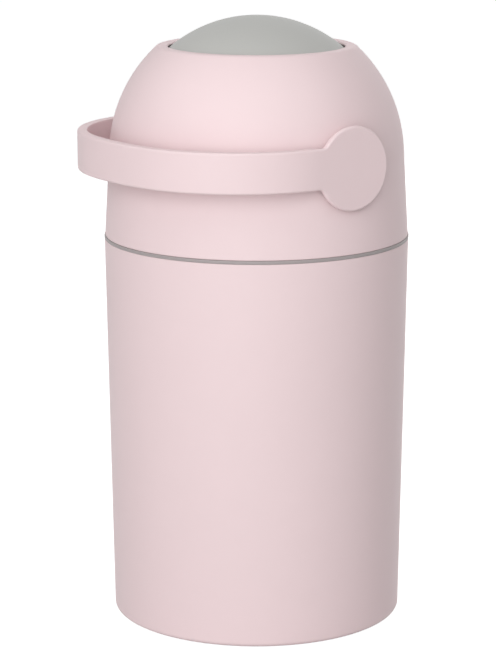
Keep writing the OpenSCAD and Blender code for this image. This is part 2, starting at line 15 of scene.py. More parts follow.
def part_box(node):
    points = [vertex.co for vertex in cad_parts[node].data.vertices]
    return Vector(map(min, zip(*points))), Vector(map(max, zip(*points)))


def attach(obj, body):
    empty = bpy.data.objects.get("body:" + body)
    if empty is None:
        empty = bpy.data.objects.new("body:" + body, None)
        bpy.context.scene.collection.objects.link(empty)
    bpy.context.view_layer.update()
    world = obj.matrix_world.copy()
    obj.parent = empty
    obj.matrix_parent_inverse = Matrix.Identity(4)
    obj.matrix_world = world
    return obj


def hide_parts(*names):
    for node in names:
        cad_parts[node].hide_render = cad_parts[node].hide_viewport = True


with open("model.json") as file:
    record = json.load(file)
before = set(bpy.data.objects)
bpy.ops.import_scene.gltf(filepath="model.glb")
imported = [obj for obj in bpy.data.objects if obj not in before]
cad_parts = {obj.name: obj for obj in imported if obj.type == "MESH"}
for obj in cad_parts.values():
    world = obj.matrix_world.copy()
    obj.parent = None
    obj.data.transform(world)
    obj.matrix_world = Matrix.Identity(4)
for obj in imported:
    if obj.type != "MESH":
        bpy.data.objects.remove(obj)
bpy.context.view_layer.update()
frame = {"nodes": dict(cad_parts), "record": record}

bl_info = {
    "name": "Nappy bin looks",
    "version": (1, 0, 0),
    "blender": (4, 5, 0),
    "location": "View3D > Sidebar > Nappy bin",
    "description": "Builds the moulded shells, the handle, the screws and the finishes of a nappy bin",
    "category": "Object",
}

BEHAVIOUR = frame["record"]["behaviour"]
PIVOT_Z = next(joint["pos_m"][2] for joint in BEHAVIOUR["joints"] if joint["name"] == "handle_flip")
FINISH = {}

# Steps round a turned body or a bar
TURN_STEPS = 192
FINE_STEPS = 256
SCREW_STEPS = 32
HOLE_STEPS = 48
BAR_STEPS = 96
BOSS_STEPS = 64
HEXAGON = 6
SECTOR_STEP = 2  # degrees

# Support points beside a rounding, and the shares of an edge that roundings and supports may take
SUPPORT = 0.0006
FINE_SUPPORT = 0.0002
MOST_ROUNDED = 0.45
MOST_SUPPORTED = 0.3

# Small roundings
FINE_ROUND = 0.0002
SMALL_ROUND = 0.0003
SOFT_ROUND = 0.0004

# Gaps: between merged points, of a cutter past a face and past a body, and of pieces that touch
MERGE_GAP = 0.000002
CLEAR = 0.001
FAR = 0.005
POST_OVERLAP = 0.0005
WIPER_SPACE = 0.0001
PAST_BUSH = 0.0003

# Where a profile's arc ends before its edge, in degrees
EDGE_GAP = 0.4
CRADLE_GAP = 0.3
LIP_BLEND = 1.0

# The handle: how its faces are filled, and how its round ends thin down into the band
FACE_STEP = 0.0035
FACE_SPACE = 0.0018
FACE_INSET = 0.003
ROW_GAP = 0.0005
SIDE_GAP = 0.0003
INNER_EDGE = 0.6
BLEND_START = 0.0012
BLEND = 0.015
SAME_POINT = 0.0000001

# Looks
SMOOTH_LIMIT = 32.0  # degrees
FLAT_LIMIT = math.radians(0.2)
WORN_LIGHTER = 0.35
WORN_EDGE = (0.985, 0.86)
WORN_PATCHES = (0.38, 0.66)
# Painted shade in closed-in corners: the share of the colour it keeps, how far it looks for near walls, and
# the openness at which it begins and at which it is full
PAINTED_SHADE_TONE = 0.55
PAINTED_SHADE_REACH = 0.012
PAINTED_SHADE_OPENNESS = (0.7, 0.15)
GRAIN_DEPTH = 0.2
WHITE = (1.0, 1.0, 1.0, 1.0)

CLIP_END = 50.0
SIDES = (-1, 1)
DRUM_FIRST_SCREW = math.pi / 4
SCREW_RINGS = (
    ("head_base_screws", 6, 0.0),
    ("drum_screws", 4, DRUM_FIRST_SCREW),
    ("piston_screws", 4, 0.0),
)
INNER_PIECES = (
    "upper_seal",
    "lower_seal",
    "ring_gasket",
    "bush_left",
    "bush_right",
    "drum_gasket",
    "pivot_washer_left",
    "pivot_washer_right",
    "pivot_pin_left",
    "pivot_pin_right",
    "pivot_screws",
)

# For each lamp, its direction round the bin and above the floor, in degrees
LAMPS = (("left", -30.0, 45.0), ("right", 38.0, 17.0), ("high", 95.0, 57.0), ("back", 205.0, 14.0))


# ---- what the frame says ----


def top_of(node):
    """Height of a node's upper end."""
    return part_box(node)[1].z


def foot_of(node):
    """Height of a node's lower end."""
    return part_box(node)[0].z


def reach_of(node):
    """How far a node reaches to the right of the axis."""
    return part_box(node)[1].x


def body_of(node):
    """The body that a node belongs to."""
    return next(body for body, nodes in BEHAVIOUR["bodies"].items() if node in nodes)


def slot_of(node):
    """A node's material slot."""
    return next(part["material_slot"] for part in frame["record"]["subparts"] if part["node"] == node)


# ---- sizes, colours and stage settings ----


def length(name, description, default):
    """A size in metres that a user may change."""
    how = {"min": 0.0, "precision": 5, "unit": "LENGTH", "subtype": "DISTANCE"}
    return FloatProperty(name=name, description=description, default=default, **how)


def turn(name, description, degrees):
    """An angle that a user may change."""
    how = {"default": math.radians(degrees), "unit": "ROTATION", "subtype": "ANGLE"}
    return FloatProperty(name=name, description=description, **how)


def number(name, description, default, **how):
    """A plain number that a user may change."""
    return FloatProperty(name=name, description=description, default=default, **how)


def paint(name, description, default):
    """A colour that a user may change."""
    how = {"size": 3, "min": 0.0, "max": 1.0, "subtype": "COLOR"}
    return FloatVectorProperty(name=name, description=description, default=default, **how)


# The panel shows a group's properties. Its plain values fit the pieces inside, and stay in the file.


class BinSizes(bpy.types.PropertyGroup):
    """Sizes of the tapered bin and its bag ring."""

    rim_radius: length("Rim radius", "Outside radius of the bin at its rim", reach_of("bin_body"))
    foot_radius: length("Foot radius", "Outside radius of the bin just above its foot", 0.1312)
    height: length("Height", "Height of the rim above the ground", top_of("bin_body"))
    foot_lift: length("Foot lift", "Height of the foot above the ground", foot_of("bin_body"))
    foot_round: length("Foot rounding", "Radius of the rounded foot", 0.0036)
    rim_round: length("Rim rounding", "Radius of the rim's edges", 0.0009)
    wall: length("Wall", "Thickness of the side", 0.003)
    floor: length("Floor", "Thickness of the floor", 0.004)
    rubber_radius: length("Foot pad radius", "Radius of the rubber pad under the floor", reach_of("base_pad"))
    rubber: length("Foot pad", "Thickness of the rubber pad", top_of("base_pad"))
    rubber_round: length("Foot pad rounding", "Radius of the rubber pad's edges", 0.0006)
    ring_radius: length("Ring radius", "Outside radius of the bag ring", reach_of("bag_ring"))
    ring_edge: length("Ring edge", "Thickness of the bag ring's edge", 0.003)
    ring_round: length("Ring rounding", "Radius of the bag ring's edges", 0.0007)
    tube_radius: length("Tube radius", "Inside radius of the ring's tube", 0.115)
    tube: length("Tube wall", "Thickness of the ring's tube", 0.0025)
    hook_start: turn("First hook", "Place of the first hook round the axis", 30.0)
    entry: turn("Entry gap", "Sweep of each gap in the collar", 20.0)
    window: turn("Window sweep", "Sweep of each window in the bag ring", 38.0)

    # The floor's inside, and the recess under it for the rubber pad
    floor_round = 0.012
    pad_radius, pad_recess = 0.1121, 0.0016
    # The locking collar: its inside radius, distance below the rim, thickness and rounding
    collar_radius, collar_depth, collar, collar_round = 0.129, 0.0045, 0.004, 0.0006
    # The ring's tube: the height of its lower end, and its roundings
    tube_foot, tube_round, tube_mouth_round = foot_of("bag_ring"), 0.0008, 0.0015
    # The rib that centres the ring: its inside radius, thickness and height
    rib_radius, rib, rib_height = 0.1314, 0.0022, 0.0036
    # The number of hooks, and the inside and outside radius of the ring's windows for them
    hooks, window_in, window_out = 3, 0.124, 0.1333


class HeadSizes(bpy.types.PropertyGroup):
    """Sizes of the round head."""

    foot_radius: length("Foot radius", "Outside radius of the head at the seam", reach_of("head_shell"))
    foot: length("Foot", "Height of the head's lower edge", foot_of("head_shell"))
    foot_round: length("Foot rounding", "Radius of the lower edge", 0.0009)
    dome_radius: length("Dome radius", "Outside radius of the head's round upper part", 0.1322)
    dome_drop: length("Dome drop", "Distance of the dome's centre below the pivot", 0.0045)
    wall: length("Wall", "Thickness of the head", 0.003)
    lip: length("Lip", "Height of the lip", top_of("head_shell"))
    lip_round: length("Lip rounding", "Outer radius of the lip", 0.006)
    lip_bead: length("Lip bead", "How far the lip's rounding stands proud", 0.00015)
    lip_space: length("Lip space", "Space between the ball and the lip", 0.0008)
    opening: length("Opening radius", "Radius of the opening", 0.079)
    edge_round: length("Opening rounding", "Radius of the opening's upper edge", 0.002)
    boss: length("Boss radius", "Outside radius of the pivot boss", 0.02405)
    boss_end: length("Boss end", "Distance of its end from the axis", reach_of("bush_right") + PAST_BUSH)
    key_sweep: turn("Key slot sweep", "Sweep of the slots for the bushes' keys", 10.3)
    hook_sweep: turn("Hook sweep", "Sweep of each hook", 16.0)

    # Height of the seat above the upper seal
    seat = 0.506
    # The pivot bosses: radius of the inner part, the bush's seat from the axis, and radius of the bore
    boss_flange, boss_seat, bore = 0.02705, 0.124, 0.0191
    # The slots for the bushes' keys: outer radius, and end from the axis
    key, key_end = 0.02215, 0.1281
    # The screw posts: number, circle, lift above the lower edge, height, and length of their webs
    posts, post_circle, post_lift, post_height, web = 6, 0.1276, 0.0055, 0.018, 0.0025
    # The base: outside radius, lift above the lower edge, thickness and rounding
    plate_radius, plate_lift, plate, plate_round = reach_of("head_base"), 0.0005, 0.005, 0.0005
    # The gasket's groove: inside radius, width and depth
    groove, groove_width, groove_depth = 0.119, 0.0038, 0.002
    # The cradle: space to the ball, thickness, and height of its lower edge
    cradle_space, cradle, cradle_foot = 0.0012, 0.0028, top_of("lower_seal")
    # The hooks: inside radius and thickness, and their toes' outside radius and height
    hook, hook_wall, toe, toe_height = 0.1245, 0.003, 0.1325, 0.006


class DrumSizes(bpy.types.PropertyGroup):
    """Sizes of the ball-shaped drum."""

    ball: length("Ball radius", "Outside radius of the drum", 0.12)
    wall: length("Wall", "Thickness of the drum", 0.0025)
    split: length("Split", "Height of the joint between dome and cup", foot_of("drum_dome"))
    split_round: length("Split rounding", "Radius of the edges at that joint", 0.0004)
    mouth: length("Mouth", "Height of the mouth's face", foot_of("drum_cup"))
    mouth_lip: length("Mouth lip", "How far the lip reaches into the chamber", 0.003)
    mouth_lip_height: length("Mouth lip height", "Height of that lip", 0.0025)
    mouth_round: length("Mouth rounding", "Radius of the mouth's edges", 0.0009)
    chamber: length("Chamber radius", "Inside radius of the chamber", 0.072)
    chamber_wall: length("Chamber wall", "Thickness of the chamber's tube", 0.0025)
    chamber_top: length("Chamber end", "Height of the chamber's closed end", 0.503)
    chamber_end: length("End thickness", "Thickness of the chamber's closed end", 0.005)
    end_round: length("End rounding", "Radius between the chamber's end and its side", 0.0005)
    stop_sweep: turn("Stop sweep", "Sweep of the stops that end the half turn", 16.0)

    # The side flats: distance from the axis and radius
    flat, flat_radius = 0.1186, 0.01836
    # The spigot inside the dome: height, thickness, and distance of its inside from the dome's wall
    spigot, spigot_wall, spigot_inset = 0.006, 0.0024, 0.0056
    # The pins' bosses and hexagonal holes, and the holes for the pins' heads: radii, and their seat
    boss, pin, pin_head, pin_seat = 0.017, 0.0101, 0.0141, 0.077
    # The stops that end the half turn: radii, and ends from the axis
    stop_inner, stop_outer, stop_root, stop_end = 0.0213, 0.0258, 0.1164, 0.12115
    # The screw posts: number and circle
    posts, post_circle = 4, 0.055


class PistonSizes(bpy.types.PropertyGroup):
    """Sizes of the loose piston."""

    radius: length("Piston radius", "Outside radius of the piston", reach_of("piston_cap"))
    face: length("Face", "Height of the piston's face", foot_of("piston_cap"))
    top: length("Top", "Height of the piston's top", top_of("piston_body"))
    plate: length("Plate", "Thickness of the face and of the top", 0.004)
    wall: length("Wall", "Thickness of the piston's side", 0.004)
    edge: length("Edge rounding", "Radius of the piston's edges", 0.0009)
    weight: length("Weight radius", "Radius of the steel weight", reach_of("piston_weight"))
    weight_foot: length("Weight foot", "Height of the steel weight's lower face", foot_of("piston_weight"))

    # Rounding between side and top inside, and thickness of the rib that carries the weight
    shelf_round, rib = 0.001, 0.003
    # The wiper's groove: depth, and heights of its sides
    groove = 0.002
    groove_foot, groove_top = foot_of("piston_wiper") - WIPER_SPACE, top_of("piston_wiper") + WIPER_SPACE
    wiper_round = 0.0012
    # The screw posts: number and circle
    posts, post_circle = 4, 0.057


class HandleSizes(bpy.types.PropertyGroup):
    """Sizes of the loop handle, measured on the band's middle line."""

    face: length("Face", "Distance of the round ends' faces from the axis", reach_of("handle"))
    back: length("Back", "Distance of the round ends' backs from the axis", 0.1348)
    pad: length("Round end radius", "Radius of a round end", 0.0368)
    band: length("Band height", "Height of the band", 0.0355)
    rise: length("Band rise", "Height of the band's middle above the pivot", 0.0025)
    thickness: length("Band thickness", "Thickness of the band", 0.009)
    straight: length("Straight start", "Length of the straight start of each side", 0.037)
    side_radius: length("Side radius", "Radius of the bent sides", 0.1127)
    side_turn: turn("Side turn", "Turn of the bent sides", 80.9)
    join: length("Join rounding", "Radius where the band meets a round end", 0.0065)
    edge: length("Edge rounding", "Radius of the handle's edges", 0.0019)

    # The hubs: radius, rounding, and inner ends from the axis
    hub, hub_round, hub_end = 0.016, 0.0005, 0.1219
    # The hexagonal sockets: radius, and ends from the axis
    socket, socket_end = 0.0101, 0.134


class ScrewSizes(bpy.types.PropertyGroup):
    """Sizes of the equal small screws."""

    head: length("Head radius", "Radius of a screw's head", 0.003)
    head_height: length("Head height", "Height of a screw's head", 0.0022)
    head_round: length("Head rounding", "Radius of the head's edge", 0.0008)
    shank: length("Shank radius", "Radius of a screw's shank", 0.0015)
    shank_length: length("Shank length", "Length of a screw's shank", 0.014)
    recess: length("Recess", "Depth of the cross recess", 0.0011)
    slot: length("Slot", "Width of the cross recess", 0.0007)
    arm: length("Arm", "Length of each arm of the cross recess", 0.00174)

    # The holes for a screw: radius and depth for its head, and radius for its shank
    head_hole, head_depth, shank_hole = 0.0034, 0.0025, 0.0016
    # Radius of the posts that take the screws
    post = 0.0045


class Finishes(bpy.types.PropertyGroup):
    """Colours of the materials."""

    pink: paint("Pink shell", "Moulded plastic of the bin, the head and the handle", (0.84, 0.675, 0.69))
    grey: paint("Grey shell", "Moulded plastic of the drum", (0.49, 0.49, 0.47))
    ring: paint("Ring grey", "Moulded plastic of the bag ring", (0.36, 0.32, 0.32))
    acetal: paint("Acetal", "Smooth plastic of the bushes and the piston", (0.80, 0.79, 0.75))
    rubber: paint("Rubber", "Rubber of the seals and the foot pad", (0.10, 0.10, 0.10))
    steel: paint("Steel", "Steel of the screws and the weight", (0.60, 0.61, 0.63))


class StageSettings(bpy.types.PropertyGroup):
    """Camera, lamps and floor."""

    camera_distance: length("Camera distance", "Distance of the camera from the bin's axis", 2.2914)
    camera_height: length("Camera height", "Height of the camera", 0.7726)
    camera_side: turn("Camera side", "Direction of the camera round the bin", 53.0)
    camera_tilt: turn("Camera tilt", "Tilt of the camera from straight down", 77.32)
    lens: number("Lens", "Focal length in millimetres", 139.7, min=20.0)
    shift: number("Shift", "Sideways shift of the picture", -0.01287)
    lamp_size: length("Lamp size", "Width of the soft lamps", 2.2)
    lamp_distance: length("Lamp distance", "Distance of the lamps from the middle of the bin", 2.4)
    aim_height: length("Aim height", "Height that the lamps point at", 0.3)
    left: number("Left lamp", "Power of the left front lamp in watts", 10.0, min=0.0)
    right: number("Right lamp", "Power of the right front lamp in watts", 38.0, min=0.0)
    high: number("High lamp", "Power of the high lamp in watts", 14.5, min=0.0)
    back: number("Back lamp", "Power of the lamp behind the bin in watts", 24.0, min=0.0)
    sky: number("Sky", "Strength of the light from all round", 0.2, min=0.0)
    floor_reach: length("Floor reach", "Distance of the floor's sides from the bin", 6.0)
    floor_glow: number("Floor glow", "White added to the floor's picture", 0.88, min=0.0)
    floor_shade: number("Floor shade", "How much light the floor returns", 0.6, min=0.0)


# ---- node trees ----


def put(tree, kind, inputs=(), **settings):
    """Adds a node. Its inputs are values or other nodes' sockets, by name or number."""
    node = tree.nodes.new(kind)
    for key, value in settings.items():
        setattr(node, key, value)
    for key, value in dict(inputs).items():
        if isinstance(value, bpy.types.NodeSocket):
            tree.links.new(value, node.inputs[key])
        else:
            node.inputs[key].default_value = value
    return node


def math_node(tree, operation, a, b=0.0):
    """The result of one Math node."""
    return put(tree, "ShaderNodeMath", {0: a, 1: b}, operation=operation).outputs[0]


def rotated(tree, vector, angle):
    """A vector turned round the upright axis."""
    values = {"Vector": vector, "Angle": angle}
    return put(tree, "ShaderNodeVectorRotate", values, rotation_type="Z_AXIS").outputs[0]


def new_group(name, kind, inputs, outputs):
    """A node group, its inputs and its outputs, each given by its name, kind and perhaps a default."""
    tree = bpy.data.node_groups.new(name, kind)
    for direction, sockets in (("INPUT", inputs), ("OUTPUT", outputs)):
        for title, socket_kind, *default in sockets:
            socket_type = "NodeSocket" + socket_kind
            socket = tree.interface.new_socket(name=title, in_out=direction, socket_type=socket_type)
            if default:
                socket.default_value = default[0]
    return tree, put(tree, "NodeGroupInput").outputs, put(tree, "NodeGroupOutput").inputs


def end_tree(tree, geometry, material, result):
    """Ends a geometry tree with real copies that carry their material."""
    real = put(tree, "GeometryNodeRealizeInstances", {0: geometry})
    finished = put(tree, "GeometryNodeSetMaterial", {"Geometry": real.outputs[0], "Material": material})
    tree.links.new(finished.outputs[0], result)


def turned_tree():
    """Turns the profile that a mesh's points give into a closed body round the upright axis."""
    tree, given, result = new_group(
        "Turned body",
        "GeometryNodeTree",
        (("Profile", "Geometry"), ("Steps", "Int", TURN_STEPS), ("Material", "Material")),
        (("Body", "Geometry"),),
    )
    count = put(tree, "GeometryNodeAttributeDomainSize", {0: given["Profile"]}, component="MESH")
    columns = math_node(tree, "ADD", given["Steps"], 1.0)
    size = {"Size X": 1.0, "Size Y": 1.0, "Vertices X": count.outputs["Point Count"], "Vertices Y": columns}
    grid = put(tree, "GeometryNodeMeshGrid", size)
    index = put(tree, "GeometryNodeInputIndex").outputs[0]
    row = math_node(tree, "FLOOR", math_node(tree, "DIVIDE", math_node(tree, "ADD", index, 0.5), columns))
    column = math_node(tree, "SUBTRACT", index, math_node(tree, "MULTIPLY", row, columns))
    angle = math_node(tree, "MULTIPLY", math_node(tree, "DIVIDE", column, given["Steps"]), math.tau)
    position = put(tree, "GeometryNodeInputPosition").outputs[0]
    point = put(
        tree,
        "GeometryNodeSampleIndex",
        {"Geometry": given["Profile"], "Value": position, "Index": row},
        data_type="FLOAT_VECTOR",
        domain="POINT",
    )
    around = rotated(tree, point.outputs[0], angle)
    placed = put(tree, "GeometryNodeSetPosition", {"Geometry": grid.outputs["Mesh"], "Position": around})
    merged = put(tree, "GeometryNodeMergeByDistance", {"Geometry": placed.outputs[0], "Distance": MERGE_GAP})
    smoothed = put(tree, "GeometryNodeSetShadeSmooth", {0: merged.outputs[0]})
    end_tree(tree, smoothed.outputs[0], given["Material"], result["Body"])
    return tree


def circle_tree():
    """Sets copies of a small body at equal steps on a circle round the upright axis."""
    tree, given, result = new_group(
        "Copies on a circle",
        "GeometryNodeTree",
        (
            ("Copy", "Geometry"),
            ("Count", "Int", 4),
            ("Radius", "Float", 0.05),
            ("First angle", "Float", 0.0),
            ("Height", "Float", 0.0),
            ("Material", "Material"),
        ),
        (("Ring of copies", "Geometry"),),
    )
    circle = put(tree, "GeometryNodeMeshCircle", {"Vertices": given["Count"], "Radius": given["Radius"]})
    spot = rotated(tree, put(tree, "GeometryNodeInputPosition").outputs[0], given["First angle"])
    lift = put(tree, "ShaderNodeCombineXYZ", {"Z": given["Height"]}).outputs[0]
    place = {"Geometry": circle.outputs[0], "Position": spot, "Offset": lift}
    points = put(tree, "GeometryNodeSetPosition", place).outputs[0]
    index = put(tree, "GeometryNodeInputIndex").outputs[0]
    step = math_node(tree, "DIVIDE", math_node(tree, "MULTIPLY", index, math.tau), given["Count"])
    face = put(tree, "ShaderNodeCombineXYZ", {"Z": math_node(tree, "ADD", step, given["First angle"])})
    copies = {"Points": points, "Instance": given["Copy"], "Rotation": face.outputs[0]}
    ring = put(tree, "GeometryNodeInstanceOnPoints", copies).outputs[0]
    end_tree(tree, ring, given["Material"], result["Ring of copies"])
    return tree


def run_tree(obj, tree, values):
    """Runs a geometry tree on an object and keeps the result as its plain mesh."""
    modifier = obj.modifiers.new(tree.name, "NODES")
    modifier.node_group = tree
    for item in tree.interface.items_tree:
        if item.in_out == "INPUT" and item.name in values:
            modifier[item.identifier] = values[item.name]
    keep_result(obj)


def keep_result(obj):
    """Replaces an object's mesh by the result of its modifiers, and removes them."""
    bpy.context.view_layer.update()
    seen = obj.evaluated_get(bpy.context.evaluated_depsgraph_get())
    made = bpy.data.meshes.new_from_object(seen)
    made.name = obj.name
    obj.modifiers.clear()
    obj.data = made


# ---- mesh helpers ----


def show(name, mesh):
    """A new object at the origin."""
    obj = bpy.data.objects.new(name, mesh)
    bpy.context.scene.collection.objects.link(obj)
    return obj


def mesh_from(name, points, faces, edges=()):
    """A mesh from plain lists."""
    mesh = bpy.data.meshes.new(name)
    mesh.from_pydata([tuple(p) for p in points], list(edges), [tuple(f) for f in faces])
    mesh.update()
    return mesh


@contextmanager
def edited(mesh):
    """A mesh as a bmesh, which goes back into the mesh at the end."""
    work = bmesh.new()
    work.from_mesh(mesh)
    yield work
    work.to_mesh(mesh)
    work.free()


def smooth(mesh, limit=SMOOTH_LIMIT):
    """Smooth faces, with hard edges only where the surface turns by more than the limit."""
    mesh.polygons.foreach_set("use_smooth", [True] * len(mesh.polygons))
    mesh.set_sharp_from_angle(angle=math.radians(limit))


def outward(mesh):
    """Turns a closed mesh so that its faces point outwards."""
    with edited(mesh) as work:
        if work.calc_volume(signed=True) < 0:
            bmesh.ops.reverse_faces(work, faces=work.faces)


def show_closed(name, mesh, limit=SMOOTH_LIMIT):
    """A new object from a closed mesh, its faces smooth and outwards."""
    outward(mesh)
    smooth(mesh, limit)
    return show(name, mesh)


def tidy_normals(work):
    """Merges double points and makes the faces agree."""
    bmesh.ops.remove_doubles(work, verts=work.verts, dist=MERGE_GAP)
    bmesh.ops.recalc_face_normals(work, faces=work.faces)


def round_edges(work, radius, limit):
    """Rounds the edges at which the surface turns by more than the limit."""
    sharp = [e for e in work.edges if e.calc_face_angle(0.0) > math.radians(limit)]
    bmesh.ops.bevel(work, geom=sharp, offset=radius, segments=3, affect="EDGES", profile=0.5)


def arc(centre_r, centre_z, radius, start, end, steps):
    """Points of an arc in a half profile, its angles in degrees above the radial direction."""
    angles = np.radians(np.linspace(start, end, steps + 1))
    return [(centre_r + radius * math.cos(a), centre_z + radius * math.sin(a)) for a in angles]


def corner_arc(point, before, after, radius, steps, support):
    """A corner's rounding between its two neighbours, with a point close by on both sides."""
    before, after = before - point, after - point
    room = min(np.linalg.norm(before), np.linalg.norm(after))
    before /= np.linalg.norm(before)
    after /= np.linalg.norm(after)
    half = math.acos(np.clip(before @ after, -1.0, 1.0)) / 2
    reach = min(radius / math.tan(half), MOST_ROUNDED * room)
    radius = reach * math.tan(half)
    middle = (before + after) / np.linalg.norm(before + after)
    centre = point + middle * radius / math.sin(half)
    (r0, z0), (r1, z1) = point + before * reach - centre, point + after * reach - centre
    start, end = math.degrees(math.atan2(z0, r0)), math.degrees(math.atan2(z1, r1))
    end += 360.0 * round((start - end) / 360.0)
    spare = reach + min(support, MOST_SUPPORTED * (room - reach))
    return [
        tuple(point + before * spare),
        *arc(centre[0], centre[1], radius, start, end, steps),
        tuple(point + after * spare),
    ]


def rounded(corners, closed=True, steps=6, support=SUPPORT):
    """A profile whose corners (r, z) or (r, z, rounding) become arcs."""
    profile = []
    places = [np.array(corner[:2], float) for corner in corners]
    for i, corner in enumerate(corners):
        if len(corner) < 3 or (not closed and i in (0, len(corners) - 1)):
            profile.append(tuple(places[i]))
        else:
            neighbours = places[i - 1], places[(i + 1) % len(places)]
            profile += corner_arc(places[i], *neighbours, corner[2], steps, support)
    if closed:
        r, z = np.array(profile).T
        if np.sum(r * np.roll(z, -1) - np.roll(r, -1) * z) > 0:
            profile.reverse()
        profile.append(profile[0])
    return profile


def linked(corners, **how):
    """The corners between two runs of points, without the runs' own ends."""
    return rounded(corners, closed=False, **how)[1:-1]


def turned(name, profile, finish, steps=TURN_STEPS):
    """A body turned round the upright axis from its half profile, outer side first and downwards."""
    points = [(r, 0.0, z) for r, z in profile]
    chain = [(i, i + 1) for i in range(len(points) - 1)]
    obj = show(name, mesh_from(name, points, (), chain))
    tree = bpy.data.node_groups.get("Turned body") or turned_tree()
    run_tree(obj, tree, {"Steps": steps, "Material": FINISH[finish]})
    outward(obj.data)
    smooth(obj.data)
    return obj


def sector(name, inner, outer, low, high, middle, sweep, edge=0.0):
    """A closed ring sector, its edges rounded a little."""
    steps = max(2, int(math.degrees(sweep) / SECTOR_STEP))
    corners = ((inner, low), (outer, low), (outer, high), (inner, high))
    mesh = bpy.data.meshes.new(name)
    with edited(mesh) as work:
        rows = []
        for a in np.linspace(middle - sweep / 2, middle + sweep / 2, steps + 1):
            rows.append([work.verts.new((r * math.cos(a), r * math.sin(a), z)) for r, z in corners])
        for one, two in zip(rows, rows[1:]):
            for i in range(4):
                work.faces.new((one[i], one[(i + 1) % 4], two[(i + 1) % 4], two[i]))
        work.faces.new(rows[0])
        work.faces.new(rows[-1])
        tidy_normals(work)
        if edge:
            round_edges(work, edge, 40)
    return show_closed(name, mesh)


def lay_on_pivot(obj, side):
    """Turns an upright body onto the pivot's axis, its top pointing to one side of the bin."""
    obj.data.transform(Matrix.Translation((0, 0, PIVOT_Z)) @ Matrix.Rotation(side * math.pi / 2, 4, "Y"))
    return obj


def pivot_sector(name, inner, outer, start, end, side, sweep, up=False):
    """A ring sector round the pivot's axis, straight above it or straight below."""
    middle = math.pi if (side > 0) == up else 0.0
    return lay_on_pivot(sector(name, inner, outer, start, end, middle, sweep), side)


def bar(name, radius, start, end, side, sides=BAR_STEPS, edge=0.0):
    """A round or many-sided bar along the pivot's axis, on one side of the bin."""
    mesh = bpy.data.meshes.new(name)
    shape = {"segments": sides, "radius1": radius, "radius2": radius, "depth": end - start}
    with edited(mesh) as work:
        bmesh.ops.create_cone(work, cap_ends=True, **shape)
        if edge:
            round_edges(work, edge, 60)
        bmesh.ops.translate(work, vec=(0, 0, (start + end) / 2), verts=work.verts)
    return lay_on_pivot(show_closed(name, mesh), side)


def block(name, low, high):
    """A closed block between two corners."""
    mesh = bpy.data.meshes.new(name)
    size, middle = Vector(high) - Vector(low), (Vector(high) + Vector(low)) / 2
    place = Matrix.Translation(middle) @ Matrix.Diagonal((*size, 1.0))
    with edited(mesh) as work:
        bmesh.ops.create_cube(work, size=1.0, matrix=place)
    return show(name, mesh)


def combine(target, other, operation="DIFFERENCE"):
    """Cuts another body out of the target, or fuses it on, and removes the other."""
    modifier = target.modifiers.new(operation, "BOOLEAN")
    modifier.operation = operation
    modifier.solver = "EXACT"
    modifier.object = other
    keep_result(target)
    bpy.data.objects.remove(other)


def join(target, *others):
    """Adds other objects' closed meshes to the target's mesh."""
    with edited(target.data) as work:
        for obj in others:
            work.from_mesh(obj.data)
            bpy.data.objects.remove(obj)


def settle(obj, node):
    """Gives a finished piece its material and its body, in place of its CAD node."""
    slot = slot_of(node)
    obj.data.materials.clear()
    obj.data.materials.append(FINISH[slot])
    obj.data.polygons.foreach_set("material_index", [0] * len(obj.data.polygons))
    obj.data.update()
    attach(obj, body_of(node))
    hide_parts(node)


# ---- shader groups and materials ----


def noise(tree, place, scale, detail, roughness):
    """The value of a noise texture."""
    values = {"Vector": place, "Scale": scale, "Detail": detail, "Roughness": roughness}
    return put(tree, "ShaderNodeTexNoise", values).outputs["Fac"]


def mix_colour(tree, factor, a, b):
    """A colour between two others. Each may be a value or a socket."""
    return put(tree, "ShaderNodeMix", {0: factor, 6: a, 7: b}, data_type="RGBA").outputs[2]


def span(tree, value, low, high):
    """0 at the first limit and 1 at the second."""
    return put(tree, "ShaderNodeMapRange", {"Value": value, "From Min": low, "From Max": high}).outputs[0]


def tone_group():
    """Moulded plastic: slow drift of tone, fine grain and faint marks."""
    tree, given, result = new_group(
        "Moulded tone",
        "ShaderNodeTree",
        (
            ("Colour", "Color"),
            ("Drift", "Float", 0.04),
            ("Roughness", "Float", 0.45),
            ("Roughness drift", "Float", 0.22),
            ("Marks", "Float", 0.35),
            ("Grain size", "Float", 0.0006),
        ),
        (("Colour", "Color"), ("Roughness", "Float"), ("Height", "Float")),
    )
    place = put(tree, "ShaderNodeTexCoord").outputs["Object"]
    slow = noise(tree, place, 7.0, 3.0, 0.55)
    marks = noise(tree, place, 55.0, 5.0, 0.6)
    grain = noise(tree, place, math_node(tree, "DIVIDE", 1.0, given["Grain size"]), 2.0, 0.5)
    both = put(tree, "ShaderNodeMix", {"Factor": given["Marks"], "A": slow, "B": marks}).outputs[0]
    centred = math_node(tree, "SUBTRACT", both, 0.5)
    value = math_node(tree, "ADD", math_node(tree, "MULTIPLY", centred, given["Drift"]), 1.0)
    shaded = put(tree, "ShaderNodeHueSaturation", {"Color": given["Colour"], "Value": value})
    change = math_node(tree, "MULTIPLY", centred, given["Roughness drift"])
    tree.links.new(shaded.outputs[0], result["Colour"])
    tree.links.new(math_node(tree, "ADD", given["Roughness"], change), result["Roughness"])
    tree.links.new(grain, result["Height"])


